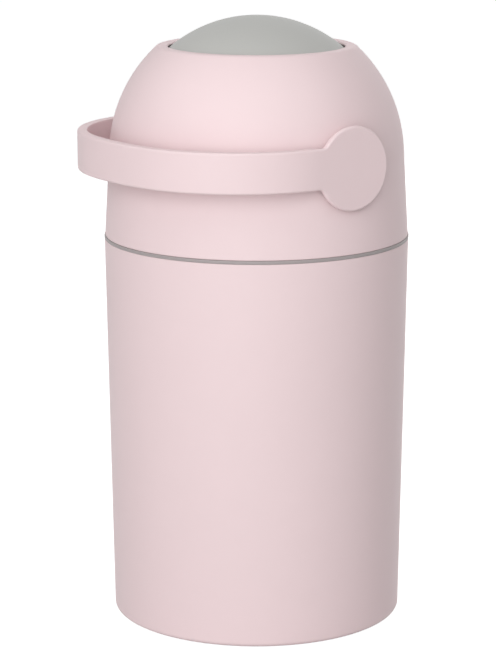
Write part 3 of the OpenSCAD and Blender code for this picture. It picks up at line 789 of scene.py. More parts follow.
def wear_and_shade_group():
    """Handling: edges rubbed a little lighter in patches, and painted shade where the surface is closed in.
    """
    tree, given, result = new_group(
        "Edge wear",
        "ShaderNodeTree",
        (
            ("Colour", "Color"),
            ("Worn colour", "Color", (0.9, 0.9, 0.9, 1.0)),
            ("Dust colour", "Color", (0.3, 0.28, 0.27, 1.0)),
            ("Width", "Float", 0.0015),
            ("Wear", "Float", 0.3),
            ("Dust", "Float", 0.2),
        ),
        (("Colour", "Color"),),
    )
    place = put(tree, "ShaderNodeTexCoord").outputs["Object"]
    softened = put(tree, "ShaderNodeBevel", {"Radius": given["Width"]}, samples=4).outputs[0]
    true_normal = put(tree, "ShaderNodeNewGeometry").outputs["Normal"]
    same = put(tree, "ShaderNodeVectorMath", {0: softened, 1: true_normal}, operation="DOT_PRODUCT")
    edge = span(tree, same.outputs["Value"], *WORN_EDGE)
    patch = span(tree, noise(tree, place, 90.0, 6.0, 0.65), *WORN_PATCHES)
    worn = math_node(tree, "MULTIPLY", math_node(tree, "MULTIPLY", edge, patch), given["Wear"])
    # Painted shade: the colour is darkened where ambient occlusion finds walls close by, in corners and gaps
    sky = put(tree, "ShaderNodeAmbientOcclusion", {"Distance": PAINTED_SHADE_REACH}, samples=4).outputs["AO"]
    painted_shade = math_node(tree, "MULTIPLY", span(tree, sky, *PAINTED_SHADE_OPENNESS), given["Dust"])
    lighter = mix_colour(tree, worn, given["Colour"], given["Worn colour"])
    tree.links.new(mix_colour(tree, painted_shade, lighter, given["Dust colour"]), result["Colour"])


def own_nodes(data):
    """A material's or world's node tree, emptied."""
    data.use_nodes = True
    data.node_tree.nodes.clear()
    return data.node_tree


def moulded(slot, colour, tone_values, wear_and_shade_values, grain, settings):
    """A moulded material: its own colour with drift, grain, rubbed edges and painted shade in its corners."""
    material = bpy.data.materials.new(slot.replace("_", " ").capitalize())
    tree = own_nodes(material)
    groups = bpy.data.node_groups
    names = ("Colour", "Roughness", "Drift", "Grain size")
    values = dict(zip(names, ((*colour, 1.0), *tone_values)))
    tone = put(tree, "ShaderNodeGroup", values, node_tree=groups["Moulded tone"])
    values = {
        "Colour": tone.outputs["Colour"],
        "Worn colour": (*(c + (1.0 - c) * WORN_LIGHTER for c in colour), 1.0),
        # The colour darkened for the painted shade in closed-in corners
        "Dust colour": (*(c * PAINTED_SHADE_TONE for c in colour), 1.0),
        **dict(zip(("Wear", "Dust", "Width"), wear_and_shade_values)),
    }
    worn = put(tree, "ShaderNodeGroup", values, node_tree=groups["Edge wear"])
    depth = tone_values[-1] * GRAIN_DEPTH
    values = {"Strength": grain, "Distance": depth, "Height": tone.outputs["Height"]}
    bump = put(tree, "ShaderNodeBump", values)
    values = {
        "Base Color": worn.outputs["Colour"],
        "Roughness": tone.outputs["Roughness"],
        "Normal": bump.outputs["Normal"],
        **settings,
    }
    shader = put(tree, "ShaderNodeBsdfPrincipled", values)
    put(tree, "ShaderNodeOutputMaterial", {"Surface": shader.outputs[0]})
    material.diffuse_color = (*colour, 1.0)
    return material


# For each slot of the record: the colour's name, then roughness, drift and grain size, then wear, the
# strength of the painted shade in corners and the width of the worn edge, then the strength of the grain and
# the shader's own settings.
FINISH_VALUES = {
    "pink_shell": ("pink", (0.50, 0.05, 0.0007), (0.35, 0.30, 0.0015), 0.10, {"Specular IOR Level": 0.30}),
    "grey_shell": ("grey", (0.45, 0.05, 0.0007), (0.30, 0.30, 0.0015), 0.10, {"Specular IOR Level": 0.35}),
    "ring_grey": ("ring", (0.50, 0.06, 0.0006), (0.25, 0.30, 0.0015), 0.15, {}),
    "acetal": ("acetal", (0.30, 0.03, 0.0012), (0.20, 0.20, 0.0015), 0.05, {"Coat Weight": 0.15}),
    "seal_rubber": ("rubber", (0.68, 0.12, 0.0004), (0.20, 0.35, 0.0015), 0.30, {"Sheen Weight": 0.15}),
    "screw_steel": ("steel", (0.28, 0.06, 0.0003), (0.40, 0.25, 0.0004), 0.12, {"Metallic": 1.0}),
}


def make_finishes(colours):
    """All the materials of the bin, by the names of the record's slots."""
    tone_group()
    wear_and_shade_group()
    for slot, (colour, *values) in FINISH_VALUES.items():
        FINISH[slot] = moulded(slot, getattr(colours, colour), *values)


# ---- profiles ----


def height_angle(radius, z, centre=PIVOT_Z):
    """Angle in degrees above the level at which a round wall reaches a height."""
    return math.degrees(math.asin((z - centre) / radius))


def half_width(radius, z, centre=PIVOT_Z):
    """Distance from the axis at which a round wall reaches a height."""
    return math.sqrt(radius**2 - (z - centre) ** 2)


def head_profile(s, ball_radius):
    """The head's wall, from the lip down the outside to the foot and up the inside."""
    dome_z = PIVOT_Z - s.dome_drop
    gap = dome_z - s.foot
    lean = math.acos(s.dome_radius / math.hypot(s.foot_radius, gap)) - math.atan2(gap, s.foot_radius)
    inner = s.dome_radius - s.wall
    lip_z, edge_r = s.lip - s.lip_round, s.opening + s.edge_round
    reach = s.dome_radius - s.lip_round + s.lip_bead
    lip_r, touch = half_width(reach, lip_z, dome_z), height_angle(reach, lip_z, dome_z)
    outside = arc(edge_r, s.lip - s.edge_round, s.edge_round, 180, 90, 8)
    outside += [(edge_r + SUPPORT, s.lip), (lip_r - SUPPORT, s.lip)]
    outside += arc(lip_r, lip_z, s.lip_round, 90, touch, 12)[:-1]
    outside += arc(0, dome_z, s.dome_radius, touch - LIP_BLEND, math.degrees(lean), 60)
    inside = arc(0, dome_z, inner, math.degrees(lean), height_angle(inner, s.seat, dome_z), 48)
    foot_in = (inner + math.sin(lean) * gap) / math.cos(lean)
    foot = [(s.foot_radius, s.foot, s.foot_round), (foot_in, s.foot, s.foot_round)]
    seat = [(half_width(inner, s.seat, dome_z) - SUPPORT, s.seat)]
    ball = ball_radius + s.lip_space
    under_r = np.linspace(half_width(ball, s.seat), s.opening, 12)
    under = [(r, PIVOT_Z + math.sqrt(ball**2 - r**2)) for r in under_r]
    return outside + linked([outside[-1], *foot, inside[0]]) + inside + seat + under


def dome_profile(s):
    """The drum's closed upper part."""
    inner = s.ball - s.wall
    outside = arc(0, PIVOT_Z, s.ball, 90, height_angle(s.ball, s.split) + EDGE_GAP, 90)
    inside = arc(0, PIVOT_Z, inner, height_angle(inner, s.split) + EDGE_GAP, 90, 60)
    edges = [(half_width(radius, s.split), s.split, s.split_round) for radius in (s.ball, inner)]
    foot = linked([outside[-1], *edges, inside[0]], support=FINE_SUPPORT)
    return [(0.0, s.ball + PIVOT_Z)] + outside[1:] + foot + inside[:-1] + [(0.0, inner + PIVOT_Z)]


def cup_profile(s):
    """The drum's lower part with the mouth, the chamber and the ledge for the dome."""
    inner = s.ball - s.wall
    tube = s.chamber + s.chamber_wall
    ledge = s.split - s.spigot_wall
    start = height_angle(s.ball, s.split) - EDGE_GAP
    outside = arc(0, PIVOT_Z, s.ball, start, height_angle(s.ball, s.mouth) + 2 * EDGE_GAP, 90)
    low = -math.degrees(math.acos(tube / inner))
    inside = arc(0, PIVOT_Z, inner, low, height_angle(inner, ledge), 60)
    lip_r, lip_z = s.chamber - s.mouth_lip, s.mouth + s.mouth_lip_height
    mouth = [
        outside[-1],
        (half_width(s.ball, s.mouth), s.mouth, s.mouth_round),
        (lip_r, s.mouth, s.mouth_round),
        (lip_r, lip_z, s.mouth_round / 2),
        (s.chamber, lip_z),
        (s.chamber, s.chamber_top, s.end_round),
        (0.0, s.chamber_top),
    ]
    back_z = s.chamber_top + s.chamber_end
    spigot_in = half_width(inner, s.split) - s.spigot_inset
    spigot_out, spigot_z = spigot_in + s.spigot_wall, s.split + s.spigot
    spigot = [
        inside[-1],
        (spigot_in, ledge),
        (spigot_in, spigot_z, s.split_round),
        (spigot_out, spigot_z, s.split_round),
        (spigot_out, s.split),
        (half_width(s.ball, s.split), s.split, s.split_round),
        outside[0],
    ]
    loop = outside + rounded(mouth, closed=False)[1:] + [(0.0, back_z), (tube, back_z)] + inside
    return loop + linked(spigot, support=FINE_SUPPORT) + loop[:1]


def bin_profile(s):
    """The bin's wall and floor, from the rim down the outside."""
    lean = math.atan2(s.rim_radius - s.foot_radius, s.height - s.foot_lift)

    def side(z, inset):
        return s.foot_radius + (z - s.foot_lift) * math.tan(lean) - inset / math.cos(lean)

    floor_z, recess_z = s.foot_lift + s.floor, s.foot_lift + s.pad_recess
    corners = [
        (side(s.height, 0), s.height, s.rim_round),
        (side(s.foot_lift, 0), s.foot_lift, s.foot_round),
        (s.pad_radius, s.foot_lift, SOFT_ROUND),
        (s.pad_radius, recess_z),
        (0.0, recess_z),
        (0.0, floor_z),
        (side(floor_z, s.wall), floor_z, s.floor_round),
        (side(s.height, s.wall), s.height, s.rim_round),
    ]
    return rounded(corners, steps=10)


def base_profile(s, ball_radius):
    """The head's base: a flat plate with a groove for the gasket, and the cradle under the ball."""
    inner = ball_radius + s.cradle_space
    outer = inner + s.cradle
    plate = s.foot + s.plate_lift
    top, groove = plate + s.plate, plate + s.groove_depth
    end = height_angle(outer, s.cradle_foot) + CRADLE_GAP
    outside = arc(0, PIVOT_Z, outer, height_angle(outer, plate), end, 24)
    start = height_angle(inner, s.cradle_foot) + CRADLE_GAP
    inside = arc(0, PIVOT_Z, inner, start, height_angle(inner, top), 24)
    rim = [
        inside[-1],
        (s.plate_radius, top, s.plate_round),
        (s.plate_radius, plate, s.plate_round),
        (s.groove + s.groove_width, plate, FINE_ROUND),
        (s.groove + s.groove_width, groove),
        (s.groove, groove),
        (s.groove, plate, FINE_ROUND),
        outside[0],
    ]
    edges = [(half_width(radius, s.cradle_foot), s.cradle_foot, s.plate_round) for radius in (outer, inner)]
    fine = {"steps": 3, "support": FINE_SUPPORT}
    foot = linked([outside[-1], *edges, inside[0]], **fine)
    return inside[-1:] + linked(rim, **fine) + outside + foot + inside


# ---- screws ----


def post_ring(s, first=0.0):
    """The ring of a piece's screw posts: their count, the circle's radius and the first one's angle."""
    return s.posts, s.post_circle, first


def on_circle(obj, ring, finish, height=0.0):
    """Repeats a small body on a ring round the upright axis."""
    tree = bpy.data.node_groups.get("Copies on a circle") or circle_tree()
    values = dict(zip(("Count", "Radius", "First angle"), ring))
    run_tree(obj, tree, {**values, "Height": height, "Material": FINISH[finish]})
    return obj


def screw_posts(screws, finish, low, high, ring, web=0.0):
    """Hollow round posts for screws, on a ring, each with a web to the wall outside it."""
    outer, hole = screws.post, screws.shank_hole
    profile = rounded([(outer, high, SMALL_ROUND), (outer, low), (hole, low), (hole, high, SMALL_ROUND)])
    post = turned("posts", profile, finish, SCREW_STEPS)
    if web:
        start = outer - SUPPORT
        join(post, block("web", (start, -outer / 2, low), (start + web, outer / 2, high)))
    return on_circle(post, ring, finish)


def screw_holes(screws, low, high, ring):
    """Cutters for stepped screw holes through a plate, with the heads' side below."""
    step, over, under = low + screws.head_depth, high + CLEAR, low - CLEAR
    head, shank = screws.head_hole, screws.shank_hole
    profile = [(0.0, over), (shank, over), (shank, step), (head, step), (head, under), (0.0, under)]
    return on_circle(turned("screw_holes", profile, "screw_steel", HOLE_STEPS), ring, "screw_steel")


def screw_mesh(s):
    """One screw with a rounded head and a cross recess, its head's face at height 0, pointing up."""
    end = s.head_height + s.shank_length
    corners = [
        (0.0, end),
        (s.shank, end, SOFT_ROUND),
        (s.shank, s.head_height, FINE_ROUND),
        (s.head, s.head_height, SMALL_ROUND),
        (s.head, 0.0, s.head_round),
        (0.0, 0.0),
    ]
    profile = rounded(corners, closed=False, steps=3, support=FINE_SUPPORT)
    screw = turned("screw", profile, "screw_steel", SCREW_STEPS)
    for across, along in ((s.slot / 2, s.arm), (s.arm, s.slot / 2)):
        combine(screw, block("recess", (-across, -along, -s.recess), (across, along, s.recess)))
    smooth(screw.data)
    return screw


def make_screw_ring(s, node, count, first):
    """One node's ring of equal screws, on the circle that the node's box gives."""
    across = max(abs(math.cos(first + i * math.tau / count)) for i in range(count))
    screw = screw_mesh(s)
    screw.name = node.replace("screws", "screw_ring")
    ring = count, (reach_of(node) - s.head) / across, first
    on_circle(screw, ring, "screw_steel", foot_of(node))
    settle(screw, node)


# ---- pieces ----


def make_bin(s):
    """The bin with its locking collar, and its foot pad."""
    body = turned("bin_shell", bin_profile(s), "pink_shell")
    top = s.height - s.collar_depth
    outer = s.rim_radius - s.wall + SUPPORT
    share = math.tau / s.hooks
    for i in range(s.hooks):
        place = s.hook_start + (i + 0.5) * share, share - s.entry, s.collar_round
        join(body, sector("collar", s.collar_radius, outer, top - s.collar, top, *place))
    settle(body, "bin_body")
    edges = [(s.rubber_radius, z, s.rubber_round) for z in (s.rubber, 0.0)]
    pad = rounded([(0.0, s.rubber), *edges, (0.0, 0.0)], closed=False)
    settle(turned("foot_pad", pad, "seal_rubber"), "base_pad")


def make_ring(s):
    """The loose bag ring with its tube, its rib and the windows for the hooks."""
    top, rib_foot = s.height + s.ring_edge, s.height - s.rib_height
    rib_out, tube_out = s.rib_radius + s.rib, s.tube_radius + s.tube
    corners = [
        (s.ring_radius, top, s.ring_round),
        (s.ring_radius, s.height, s.ring_round),
        (rib_out, s.height),
        (rib_out, rib_foot, SOFT_ROUND),
        (s.rib_radius, rib_foot, SOFT_ROUND),
        (s.rib_radius, s.height),
        (tube_out, s.height, s.tube_round),
        (tube_out, s.tube_foot, s.tube_round),
        (s.tube_radius, s.tube_foot, s.tube_round),
        (s.tube_radius, top, s.tube_mouth_round),
    ]
    ring = turned("bag_ring_edge", rounded(corners), "ring_grey", FINE_STEPS)
    for i in range(s.hooks):
        place = s.hook_start + i * math.tau / s.hooks + (s.window - s.entry) / 2, s.window
        combine(ring, sector("window", s.window_in, s.window_out, s.height - FAR, top + CLEAR, *place))
    smooth(ring.data)
    settle(ring, "bag_ring")


def make_head_base(s, drum, lock, screws):
    """The head's base with its screw holes and the three hooks."""
    base = turned("head_base_plate", base_profile(s, drum.ball), "grey_shell", FINE_STEPS)
    plate, foot = s.foot + s.plate_lift, foot_of("head_base")
    combine(base, screw_holes(screws, plate, plate + s.plate, post_ring(s)))
    smooth(base.data)
    for i in range(lock.hooks):
        place = lock.hook_start + i * math.tau / lock.hooks, s.hook_sweep, s.plate_round
        hook = sector("hook", s.hook, s.hook + s.hook_wall, foot, plate + CLEAR, *place)
        join(base, hook, sector("toe", s.hook + CLEAR, s.toe, foot, foot + s.toe_height, *place))
    settle(base, "head_base")


def make_head(s, drum, screws):
    """The round head with its turned-in lip and the two pivot bosses."""
    shell = turned("head_dome_shell", head_profile(s, drum.ball), "pink_shell", FINE_STEPS)
    root = math.sqrt((s.dome_radius - s.wall / 2) ** 2 - s.boss_flange**2)
    start = s.boss_seat - CLEAR
    for side in SIDES:
        combine(shell, bar("boss", s.boss_flange, s.boss_seat, root, side), "UNION")
        combine(shell, bar("boss", s.boss, s.boss_seat + CLEAR, s.boss_end, side, edge=SOFT_ROUND), "UNION")
        combine(shell, bar("bore", s.bore, start, s.boss_end + 2 * FAR, side))
        slot = s.bore - CLEAR, s.key, start, s.key_end, side, s.key_sweep
        combine(shell, pivot_sector("key slot", *slot, up=True))
    smooth(shell.data)
    low = s.foot + s.post_lift
    join(shell, screw_posts(screws, "pink_shell", low, low + s.post_height, post_ring(s), s.web))
    settle(shell, "head_shell")


def make_drum(s, screws):
    """The ball-shaped drum: the closed dome, and the cup with the mouth and the chamber."""
    ring = post_ring(s, DRUM_FIRST_SCREW)
    end = s.chamber_top + s.chamber_end
    dome = turned("drum_dome_shell", dome_profile(s), "grey_shell", FINE_STEPS)
    top = PIVOT_Z + math.sqrt((s.ball - s.wall / 2) ** 2 - (s.post_circle + screws.post) ** 2)
    join(dome, screw_posts(screws, "grey_shell", end, top, ring))
    settle(dome, "drum_dome")
    cup = turned("drum_cup_shell", cup_profile(s), "grey_shell", FINE_STEPS)
    outside = s.ball + FAR
    for side in SIDES:
        combine(cup, bar("boss", s.boss, s.chamber + s.chamber_wall / 2, s.flat, side, BOSS_STEPS), "UNION")
        combine(cup, bar("flat", s.flat_radius, s.flat, outside, side))
        combine(cup, bar("head hole", s.pin_head, s.chamber - FAR, s.pin_seat, side, BOSS_STEPS))
        combine(cup, bar("pin hole", s.pin, s.pin_seat - CLEAR, outside, side, HEXAGON))
        stop = pivot_sector("stop", s.stop_inner, s.stop_outer, s.stop_root, s.stop_end, side, s.stop_sweep)
        combine(cup, stop, "UNION")
    combine(cup, screw_holes(screws, s.chamber_top, end, ring))
    smooth(cup.data)
    settle(cup, "drum_cup")


def make_piston(s, screws):
    """The loose piston: its face, its body, the steel weight and the wiper."""
    outer, seam, shelf = s.radius, s.face + s.plate, s.top - s.plate
    rib_out, rib_in = s.weight - s.rib, s.weight - 2 * s.rib
    groove = outer - s.groove
    face = [
        (0.0, s.face),
        (outer, s.face, s.edge),
        (outer, seam, s.edge / 2),
        (rib_out, seam),
        (rib_out, s.weight_foot, SMALL_ROUND),
        (rib_in, s.weight_foot, SMALL_ROUND),
        (rib_in, seam),
        (0.0, seam),
    ]
    cap = turned("piston_face", rounded(face, closed=False), "grey_shell")
    combine(cap, screw_holes(screws, s.face, seam, post_ring(s)))
    smooth(cap.data)
    settle(cap, "piston_cap")
    wall = [
        (0.0, s.top),
        (outer, s.top, s.edge),
        (outer, s.groove_top, SMALL_ROUND),
        (groove, s.groove_top),
        (groove, s.groove_foot),
        (outer, s.groove_foot, SMALL_ROUND),
        (outer, seam, s.edge / 2),
        (outer - s.wall, seam, SMALL_ROUND),
        (outer - s.wall, shelf, s.shelf_round),
        (0.0, shelf),
    ]
    body = turned("piston_shell", rounded(wall, closed=False, support=FINE_SUPPORT), "acetal")
    join(body, screw_posts(screws, "acetal", seam, shelf + POST_OVERLAP, post_ring(s)))
    settle(body, "piston_body")
    edges = [(s.weight, z, s.edge) for z in (shelf, s.weight_foot)]
    weight = rounded([(0.0, shelf), *edges, (0.0, s.weight_foot)], closed=False)
    settle(turned("steel_weight", weight, "screw_steel"), "piston_weight")
    low, high, reach = foot_of("piston_wiper"), top_of("piston_wiper"), reach_of("piston_wiper")
    inner = groove + WIPER_SPACE
    wiper = rounded([(reach, high, s.wiper_round), (reach, low, s.wiper_round), (inner, low), (inner, high)])
    settle(turned("wiper_ring", wiper, "seal_rubber"), "piston_wiper")


def finish_copy(node):
    """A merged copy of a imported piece, with flat faces in one and smooth round faces."""
    work = bmesh.new()
    work.from_mesh(frame["nodes"][node].data)
    bmesh.ops.remove_doubles(work, verts=work.verts, dist=MERGE_GAP)
    bmesh.ops.dissolve_limit(work, angle_limit=FLAT_LIMIT, verts=work.verts, edges=work.edges)
    work.verts.index_update()
    faces = [[v.index for v in face.verts] for face in work.faces]
    mesh = mesh_from(node + "_piece", [v.co for v in work.verts], faces)
    work.free()
    smooth(mesh, limit=28)
    settle(show(mesh.name, mesh), node)


# ---- the handle ----


def handle_line(s):
    """The band's middle line: its point and outward direction at a distance from a round end."""
    start = s.face - s.thickness / 2
    side = np.array((start - s.side_radius, -s.straight))
    front_radius = s.side_radius + side[0] / math.cos(s.side_turn)
    front = np.array((0.0, side[1] + (front_radius - s.side_radius) * math.sin(s.side_turn)))
    bend = s.straight + s.side_radius * s.side_turn
    half = bend + front_radius * (math.pi / 2 - s.side_turn)

    def at(distance):
        mirror = np.array((-1.0, 1.0) if distance > half else (1.0, 1.0))
        along = min(distance, 2 * half - distance)
        if along <= s.straight:
            return np.array((start, -along)) * mirror, np.array((1.0, 0.0)) * mirror
        if along <= bend:
            centre, radius, angle = side, s.side_radius, (along - s.straight) / s.side_radius
        else:
            centre, radius, angle = front, front_radius, s.side_turn + (along - bend) / front_radius
        out = np.array((math.cos(angle), -math.sin(angle)))
        return (centre + radius * out) * mirror, out * mirror

    return at, half


def handle_outline(s, half):
    """The handle laid flat: two round ends joined by the band, with rounded joins."""
    sides = []
    for sign, level in ((1, s.band / 2 + s.rise), (-1, s.band / 2 - s.rise)):
        over = level + s.join
        middle = math.sqrt((s.pad + s.join) ** 2 - over**2)
        meet = math.degrees(math.atan2(over, middle))
        disc = arc(0.0, 0.0, s.pad, 180, meet, 59)
        bend = arc(middle, over, s.join, meet + 180, 270, 11)[1:]
        edge = [(d, level) for d in np.linspace(middle, half, 52)[1:]]
        quarter = np.array(disc + bend + edge) * (1, sign)
        sides.append(np.vstack([quarter, (quarter * (-1, 1) + (2 * half, 0))[::-1][1:]]))
    over, under = sides
    return np.vstack([over, under[::-1][1:-1]])


def inset(outline, by):
    """The outline moved inwards."""
    along = np.roll(outline, -1, 0) - np.roll(outline, 1, 0)
    along /= np.linalg.norm(along, axis=1)[:, None]
    return outline + by * np.stack([along[:, 1], -along[:, 0]], 1)


def inside_points(outline, half, s):
    """Points for the broad faces, at even steps, clear of the outline."""
    points = []
    for d in np.arange(-s.pad, 2 * half + s.pad, FACE_STEP):
        on_band = 0 < d < 2 * half
        near = min(d, 2 * half - d)
        for t in np.arange(-s.pad, s.pad, FACE_STEP):
            in_disc = math.hypot(near, t) < s.pad - FACE_INSET
            in_band = on_band and abs(t - s.rise) < s.band / 2 - FACE_INSET
            away = np.min(np.hypot(outline[:, 0] - d, outline[:, 1] - t))
            if away >= FACE_SPACE and (in_disc or in_band):
                points.append((d, t))
    return np.array(points)


def handle_rows(s):
    """Rows across the handle's edge, from its outer face to its inner one.

    Each is its distance inside the outline and its level, from the inner face's level."""
    outer, soft = s.thickness / 2, s.edge * INNER_EDGE
    angles = np.radians(np.linspace(90, 0, 7))
    rows = [(s.edge + ROW_GAP, lambda low: outer)]
    for a in angles:
        rows.append((s.edge * (1 - math.cos(a)), lambda low, a=a: outer - s.edge * (1 - math.sin(a))))
    rows += [(0.0, lambda low: outer - s.edge - SIDE_GAP), (0.0, lambda low: low + soft + SIDE_GAP)]
    for a in angles[::-1]:
        rows.append((soft * (1 - math.cos(a)), lambda low, a=a: low + soft * (1 - math.sin(a))))
    return rows + [(soft + ROW_GAP, lambda low: low)]


def handle_mesh(s):
    """The loop itself: its rounded edge, and its two broad faces filled with even points."""
    at, half = handle_line(s)
    outline = handle_outline(s, half)
    outer, pad_thick = s.thickness / 2, s.face - s.back
    points, faces = [], []

    def inner_level(d, t):
        away = math.hypot(min(abs(d), abs(2 * half - d)), t)
        share = np.clip((away - s.pad - BLEND_START) / BLEND, 0, 1)
        share = share * share * (3 - 2 * share)
        return outer - (pad_thick + (s.thickness - pad_thick) * share)

    def place(d, t, out):
        point, normal = at(d)
        points.append((*(point + normal * out), PIVOT_Z + t))

    rows = handle_rows(s)
    count = len(outline)
    for by, level in rows:
        for d, t in inset(outline, by):
            place(d, t, level(inner_level(d, t)))
    for r in range(len(rows) - 1):
        for i in range(count):
            a, b = r * count + i, r * count + (i + 1) % count
            faces.append((a, b, b + count, a + count))
    for row in (0, len(rows) - 1):
        by, level = rows[row]
        rim = inset(outline, by)
        everything = np.vstack([rim, inside_points(rim, half, s)])
        border = [list(range(count))]
        vectors = [Vector(p) for p in everything]
        flat, _, triangles, *_ = delaunay_2d_cdt(vectors, [], border, 1, SAME_POINT)
        if len(flat) != len(everything):
            raise RuntimeError("the handle's outline crosses itself")
        first, start = row * count, len(points) - count
        for d, t in everything[count:]:
            place(d, t, level(inner_level(d, t)))
        faces += [tuple(i + (first if i < count else start) for i in triangle) for triangle in triangles]
    mesh = mesh_from("loop_handle", points, faces)
    with edited(mesh) as work:
        tidy_normals(work)
    return mesh


def make_handle(s):
    """The loop handle: a band that widens into two round ends, with its hubs."""
    handle = show_closed("loop_handle", handle_mesh(s), limit=40)
    for side in SIDES:
        hub = bar("hub", s.hub, s.hub_end, s.back + SUPPORT, side, edge=s.hub_round)
        combine(hub, bar("socket", s.socket, s.hub_end - CLEAR, s.socket_end, side, HEXAGON))
        smooth(hub.data)
        join(handle, hub)
    settle(handle, "handle")


# ---- stage ----


def soft_lamp(name, s, side, rise):
    """A round soft lamp that points at the bin. Its place is given by two angles in degrees."""
    side, rise = math.radians(side), math.radians(rise)
    light = bpy.data.lights.new(name + " lamp", "AREA")
    light.energy = getattr(s, name)
    light.shape = "DISK"
    light.size = s.lamp_size
    lamp = bpy.data.objects.new(light.name, light)
    away = Vector((math.sin(side) * math.cos(rise), -math.cos(side) * math.cos(rise), math.sin(rise)))
    lamp.location = Vector((0, 0, s.aim_height)) + away * s.lamp_distance
    lamp.rotation_euler = (-away).to_track_quat("-Z", "Y").to_euler()
    lamp.visible_glossy = name != "back"
    bpy.context.scene.collection.objects.link(lamp)


def seen_directly(tree):
    """1 where the camera sees a surface, also in gloss or through glass, and 0 for its light."""
    rays = put(tree, "ShaderNodeLightPath").outputs
    mirrored = math_node(tree, "MAXIMUM", rays["Is Glossy Ray"], rays["Is Transmission Ray"])
    return math_node(tree, "MAXIMUM", rays["Is Camera Ray"], mirrored)


def make_floor(s):
    """The pale floor, which keeps the bin's shadow."""
    r = s.floor_reach
    corners = [(-r, -r, 0), (r, -r, 0), (r, r, 0), (-r, r, 0)]
    floor = show("floor", mesh_from("floor", corners, [(0, 1, 2, 3)]))
    material = bpy.data.materials.new("Floor")
    tree = own_nodes(material)
    strength = math_node(tree, "MULTIPLY", seen_directly(tree), s.floor_glow)
    glow = put(tree, "ShaderNodeEmission", {"Color": WHITE, "Strength": strength})
    shade = (s.floor_shade, s.floor_shade, s.floor_shade, 1.0)
    matt = put(tree, "ShaderNodeBsdfDiffuse", {"Color": shade})
    both = put(tree, "ShaderNodeAddShader", {0: glow.outputs[0], 1: matt.outputs[0]})
    put(tree, "ShaderNodeOutputMaterial", {"Surface": both.outputs[0]})
    floor.data.materials.append(material)


def make_camera(s):
    """The camera at the photograph's angle."""
    data = bpy.data.cameras.new("camera")
    data.lens = s.lens
    data.shift_x = s.shift
    data.clip_end = CLIP_END
    camera = bpy.data.objects.new("camera", data)
    x, y = s.camera_distance * math.sin(s.camera_side), -s.camera_distance * math.cos(s.camera_side)
    camera.location = (x, y, s.camera_height)
    camera.rotation_euler = (s.camera_tilt, 0.0, s.camera_side)
    bpy.context.scene.collection.objects.link(camera)
    bpy.context.scene.camera = camera


def make_stage(s):
    """Plain floor, white surroundings, soft lamps and the camera of the photograph."""
    scene = bpy.context.scene
    scene.view_settings.view_transform = "Standard"
    make_floor(s)
    scene.world = bpy.data.worlds.new("Surroundings")
    tree = own_nodes(scene.world)
    white = math_node(tree, "MULTIPLY", seen_directly(tree), 1.0 - s.sky)
    strength = math_node(tree, "ADD", white, s.sky)
    sky = put(tree, "ShaderNodeBackground", {"Color": WHITE, "Strength": strength})
    put(tree, "ShaderNodeOutputWorld", {"Surface": sky.outputs[0]})
    for name, side, rise in LAMPS:
        soft_lamp(name, s, side, rise)
    make_camera(s)


# ---- operators ----


class MakeFinishes(bpy.types.Operator):
    """Makes all the materials"""

    bl_idname = "nappy_bin.finishes"
    bl_label = "Materials"

    def execute(self, context):
        make_finishes(context.scene.bin_finishes)
        return {"FINISHED"}


class MakeBin(bpy.types.Operator):
    """Makes the bin and the bag ring"""

    bl_idname = "nappy_bin.bin"
    bl_label = "Bin and bag ring"

    def execute(self, context):
        make_bin(context.scene.bin_sizes)
        make_ring(context.scene.bin_sizes)
        return {"FINISHED"}


class MakeHead(bpy.types.Operator):
    """Makes the head's shell and its base"""

    bl_idname = "nappy_bin.head"
    bl_label = "Head"

    def execute(self, context):
        scene = context.scene
        make_head(scene.head_sizes, scene.drum_sizes, scene.screw_sizes)
        make_head_base(scene.head_sizes, scene.drum_sizes, scene.bin_sizes, scene.screw_sizes)
        return {"FINISHED"}


class MakeDrum(bpy.types.Operator):
    """Makes the drum's dome and cup"""

    bl_idname = "nappy_bin.drum"
    bl_label = "Drum"

    def execute(self, context):
        make_drum(context.scene.drum_sizes, context.scene.screw_sizes)
        return {"FINISHED"}


class MakePiston(bpy.types.Operator):
    """Makes the piston"""

    bl_idname = "nappy_bin.piston"
    bl_label = "Piston"

    def execute(self, context):
        make_piston(context.scene.piston_sizes, context.scene.screw_sizes)
        return {"FINISHED"}


class MakeHandle(bpy.types.Operator):
    """Makes the loop handle"""

    bl_idname = "nappy_bin.handle"
    bl_label = "Handle"

    def execute(self, context):
        make_handle(context.scene.handle_sizes)
        return {"FINISHED"}


class MakeScrews(bpy.types.Operator):
    """Makes the rings of small screws"""

    bl_idname = "nappy_bin.screws"
    bl_label = "Screws"

    def execute(self, context):
        sizes = context.scene.screw_sizes
        for node, count, first in SCREW_RINGS:
            make_screw_ring(sizes, node, count, first)
        return {"FINISHED"}


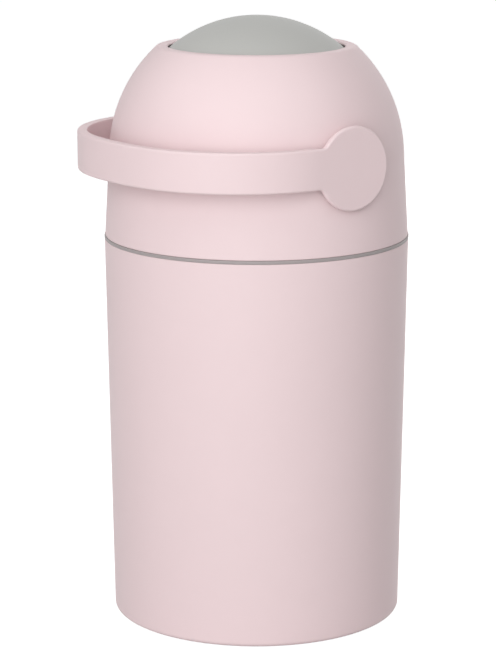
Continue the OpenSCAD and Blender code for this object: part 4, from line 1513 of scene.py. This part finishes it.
class FinishInside(bpy.types.Operator):
    """Finishes the seals, bushes, washers and pins"""

    bl_idname = "nappy_bin.inside"
    bl_label = "Inner pieces"

    def execute(self, context):
        for node in INNER_PIECES:
            finish_copy(node)
        return {"FINISHED"}


class MakeStage(bpy.types.Operator):
    """Makes the floor, the lamps and the camera"""

    bl_idname = "nappy_bin.stage"
    bl_label = "Stage"

    def execute(self, context):
        make_stage(context.scene.bin_stage)
        return {"FINISHED"}


# ---- panel and registration ----


class BinPanel(bpy.types.Panel):
    """Lists the sizes, the colours and the steps"""

    bl_idname = "NAPPY_BIN_PT_looks"
    bl_label = "Nappy bin"
    bl_space_type = "VIEW_3D"
    bl_region_type = "UI"
    bl_category = "Nappy bin"

    def draw(self, context):
        for title, name, _, operator in STEPS:
            box = self.layout.box()
            box.label(text=title)
            if name:
                group = getattr(context.scene, name)
                for key in group.bl_rna.properties.keys():
                    if key not in ("rna_type", "name"):
                        box.prop(group, key)
            box.operator(operator.bl_idname)


STEPS = (
    ("Colours", "bin_finishes", Finishes, MakeFinishes),
    ("Bin", "bin_sizes", BinSizes, MakeBin),
    ("Drum", "drum_sizes", DrumSizes, MakeDrum),
    ("Head", "head_sizes", HeadSizes, MakeHead),
    ("Piston", "piston_sizes", PistonSizes, MakePiston),
    ("Handle", "handle_sizes", HandleSizes, MakeHandle),
    ("Screws", "screw_sizes", ScrewSizes, MakeScrews),
    ("Inner pieces", None, None, FinishInside),
    ("Stage", "bin_stage", StageSettings, MakeStage),
)


def register():
    """Adds the sizes, the steps and the panel."""
    for _, name, group, operator in STEPS:
        if group:
            bpy.utils.register_class(group)
            setattr(bpy.types.Scene, name, PointerProperty(type=group))
        bpy.utils.register_class(operator)
    bpy.utils.register_class(BinPanel)


def unregister():
    """Takes them away again."""
    bpy.utils.unregister_class(BinPanel)
    for _, name, group, operator in reversed(STEPS):
        bpy.utils.unregister_class(operator)
        if group:
            delattr(bpy.types.Scene, name)
            bpy.utils.unregister_class(group)


def main():
    """Runs every step in its order."""
    register()
    for step in ("finishes", "bin", "drum", "head", "piston", "handle", "screws", "inside", "stage"):
        getattr(bpy.ops.nappy_bin, step)()


if __name__ == "__main__":
    main()
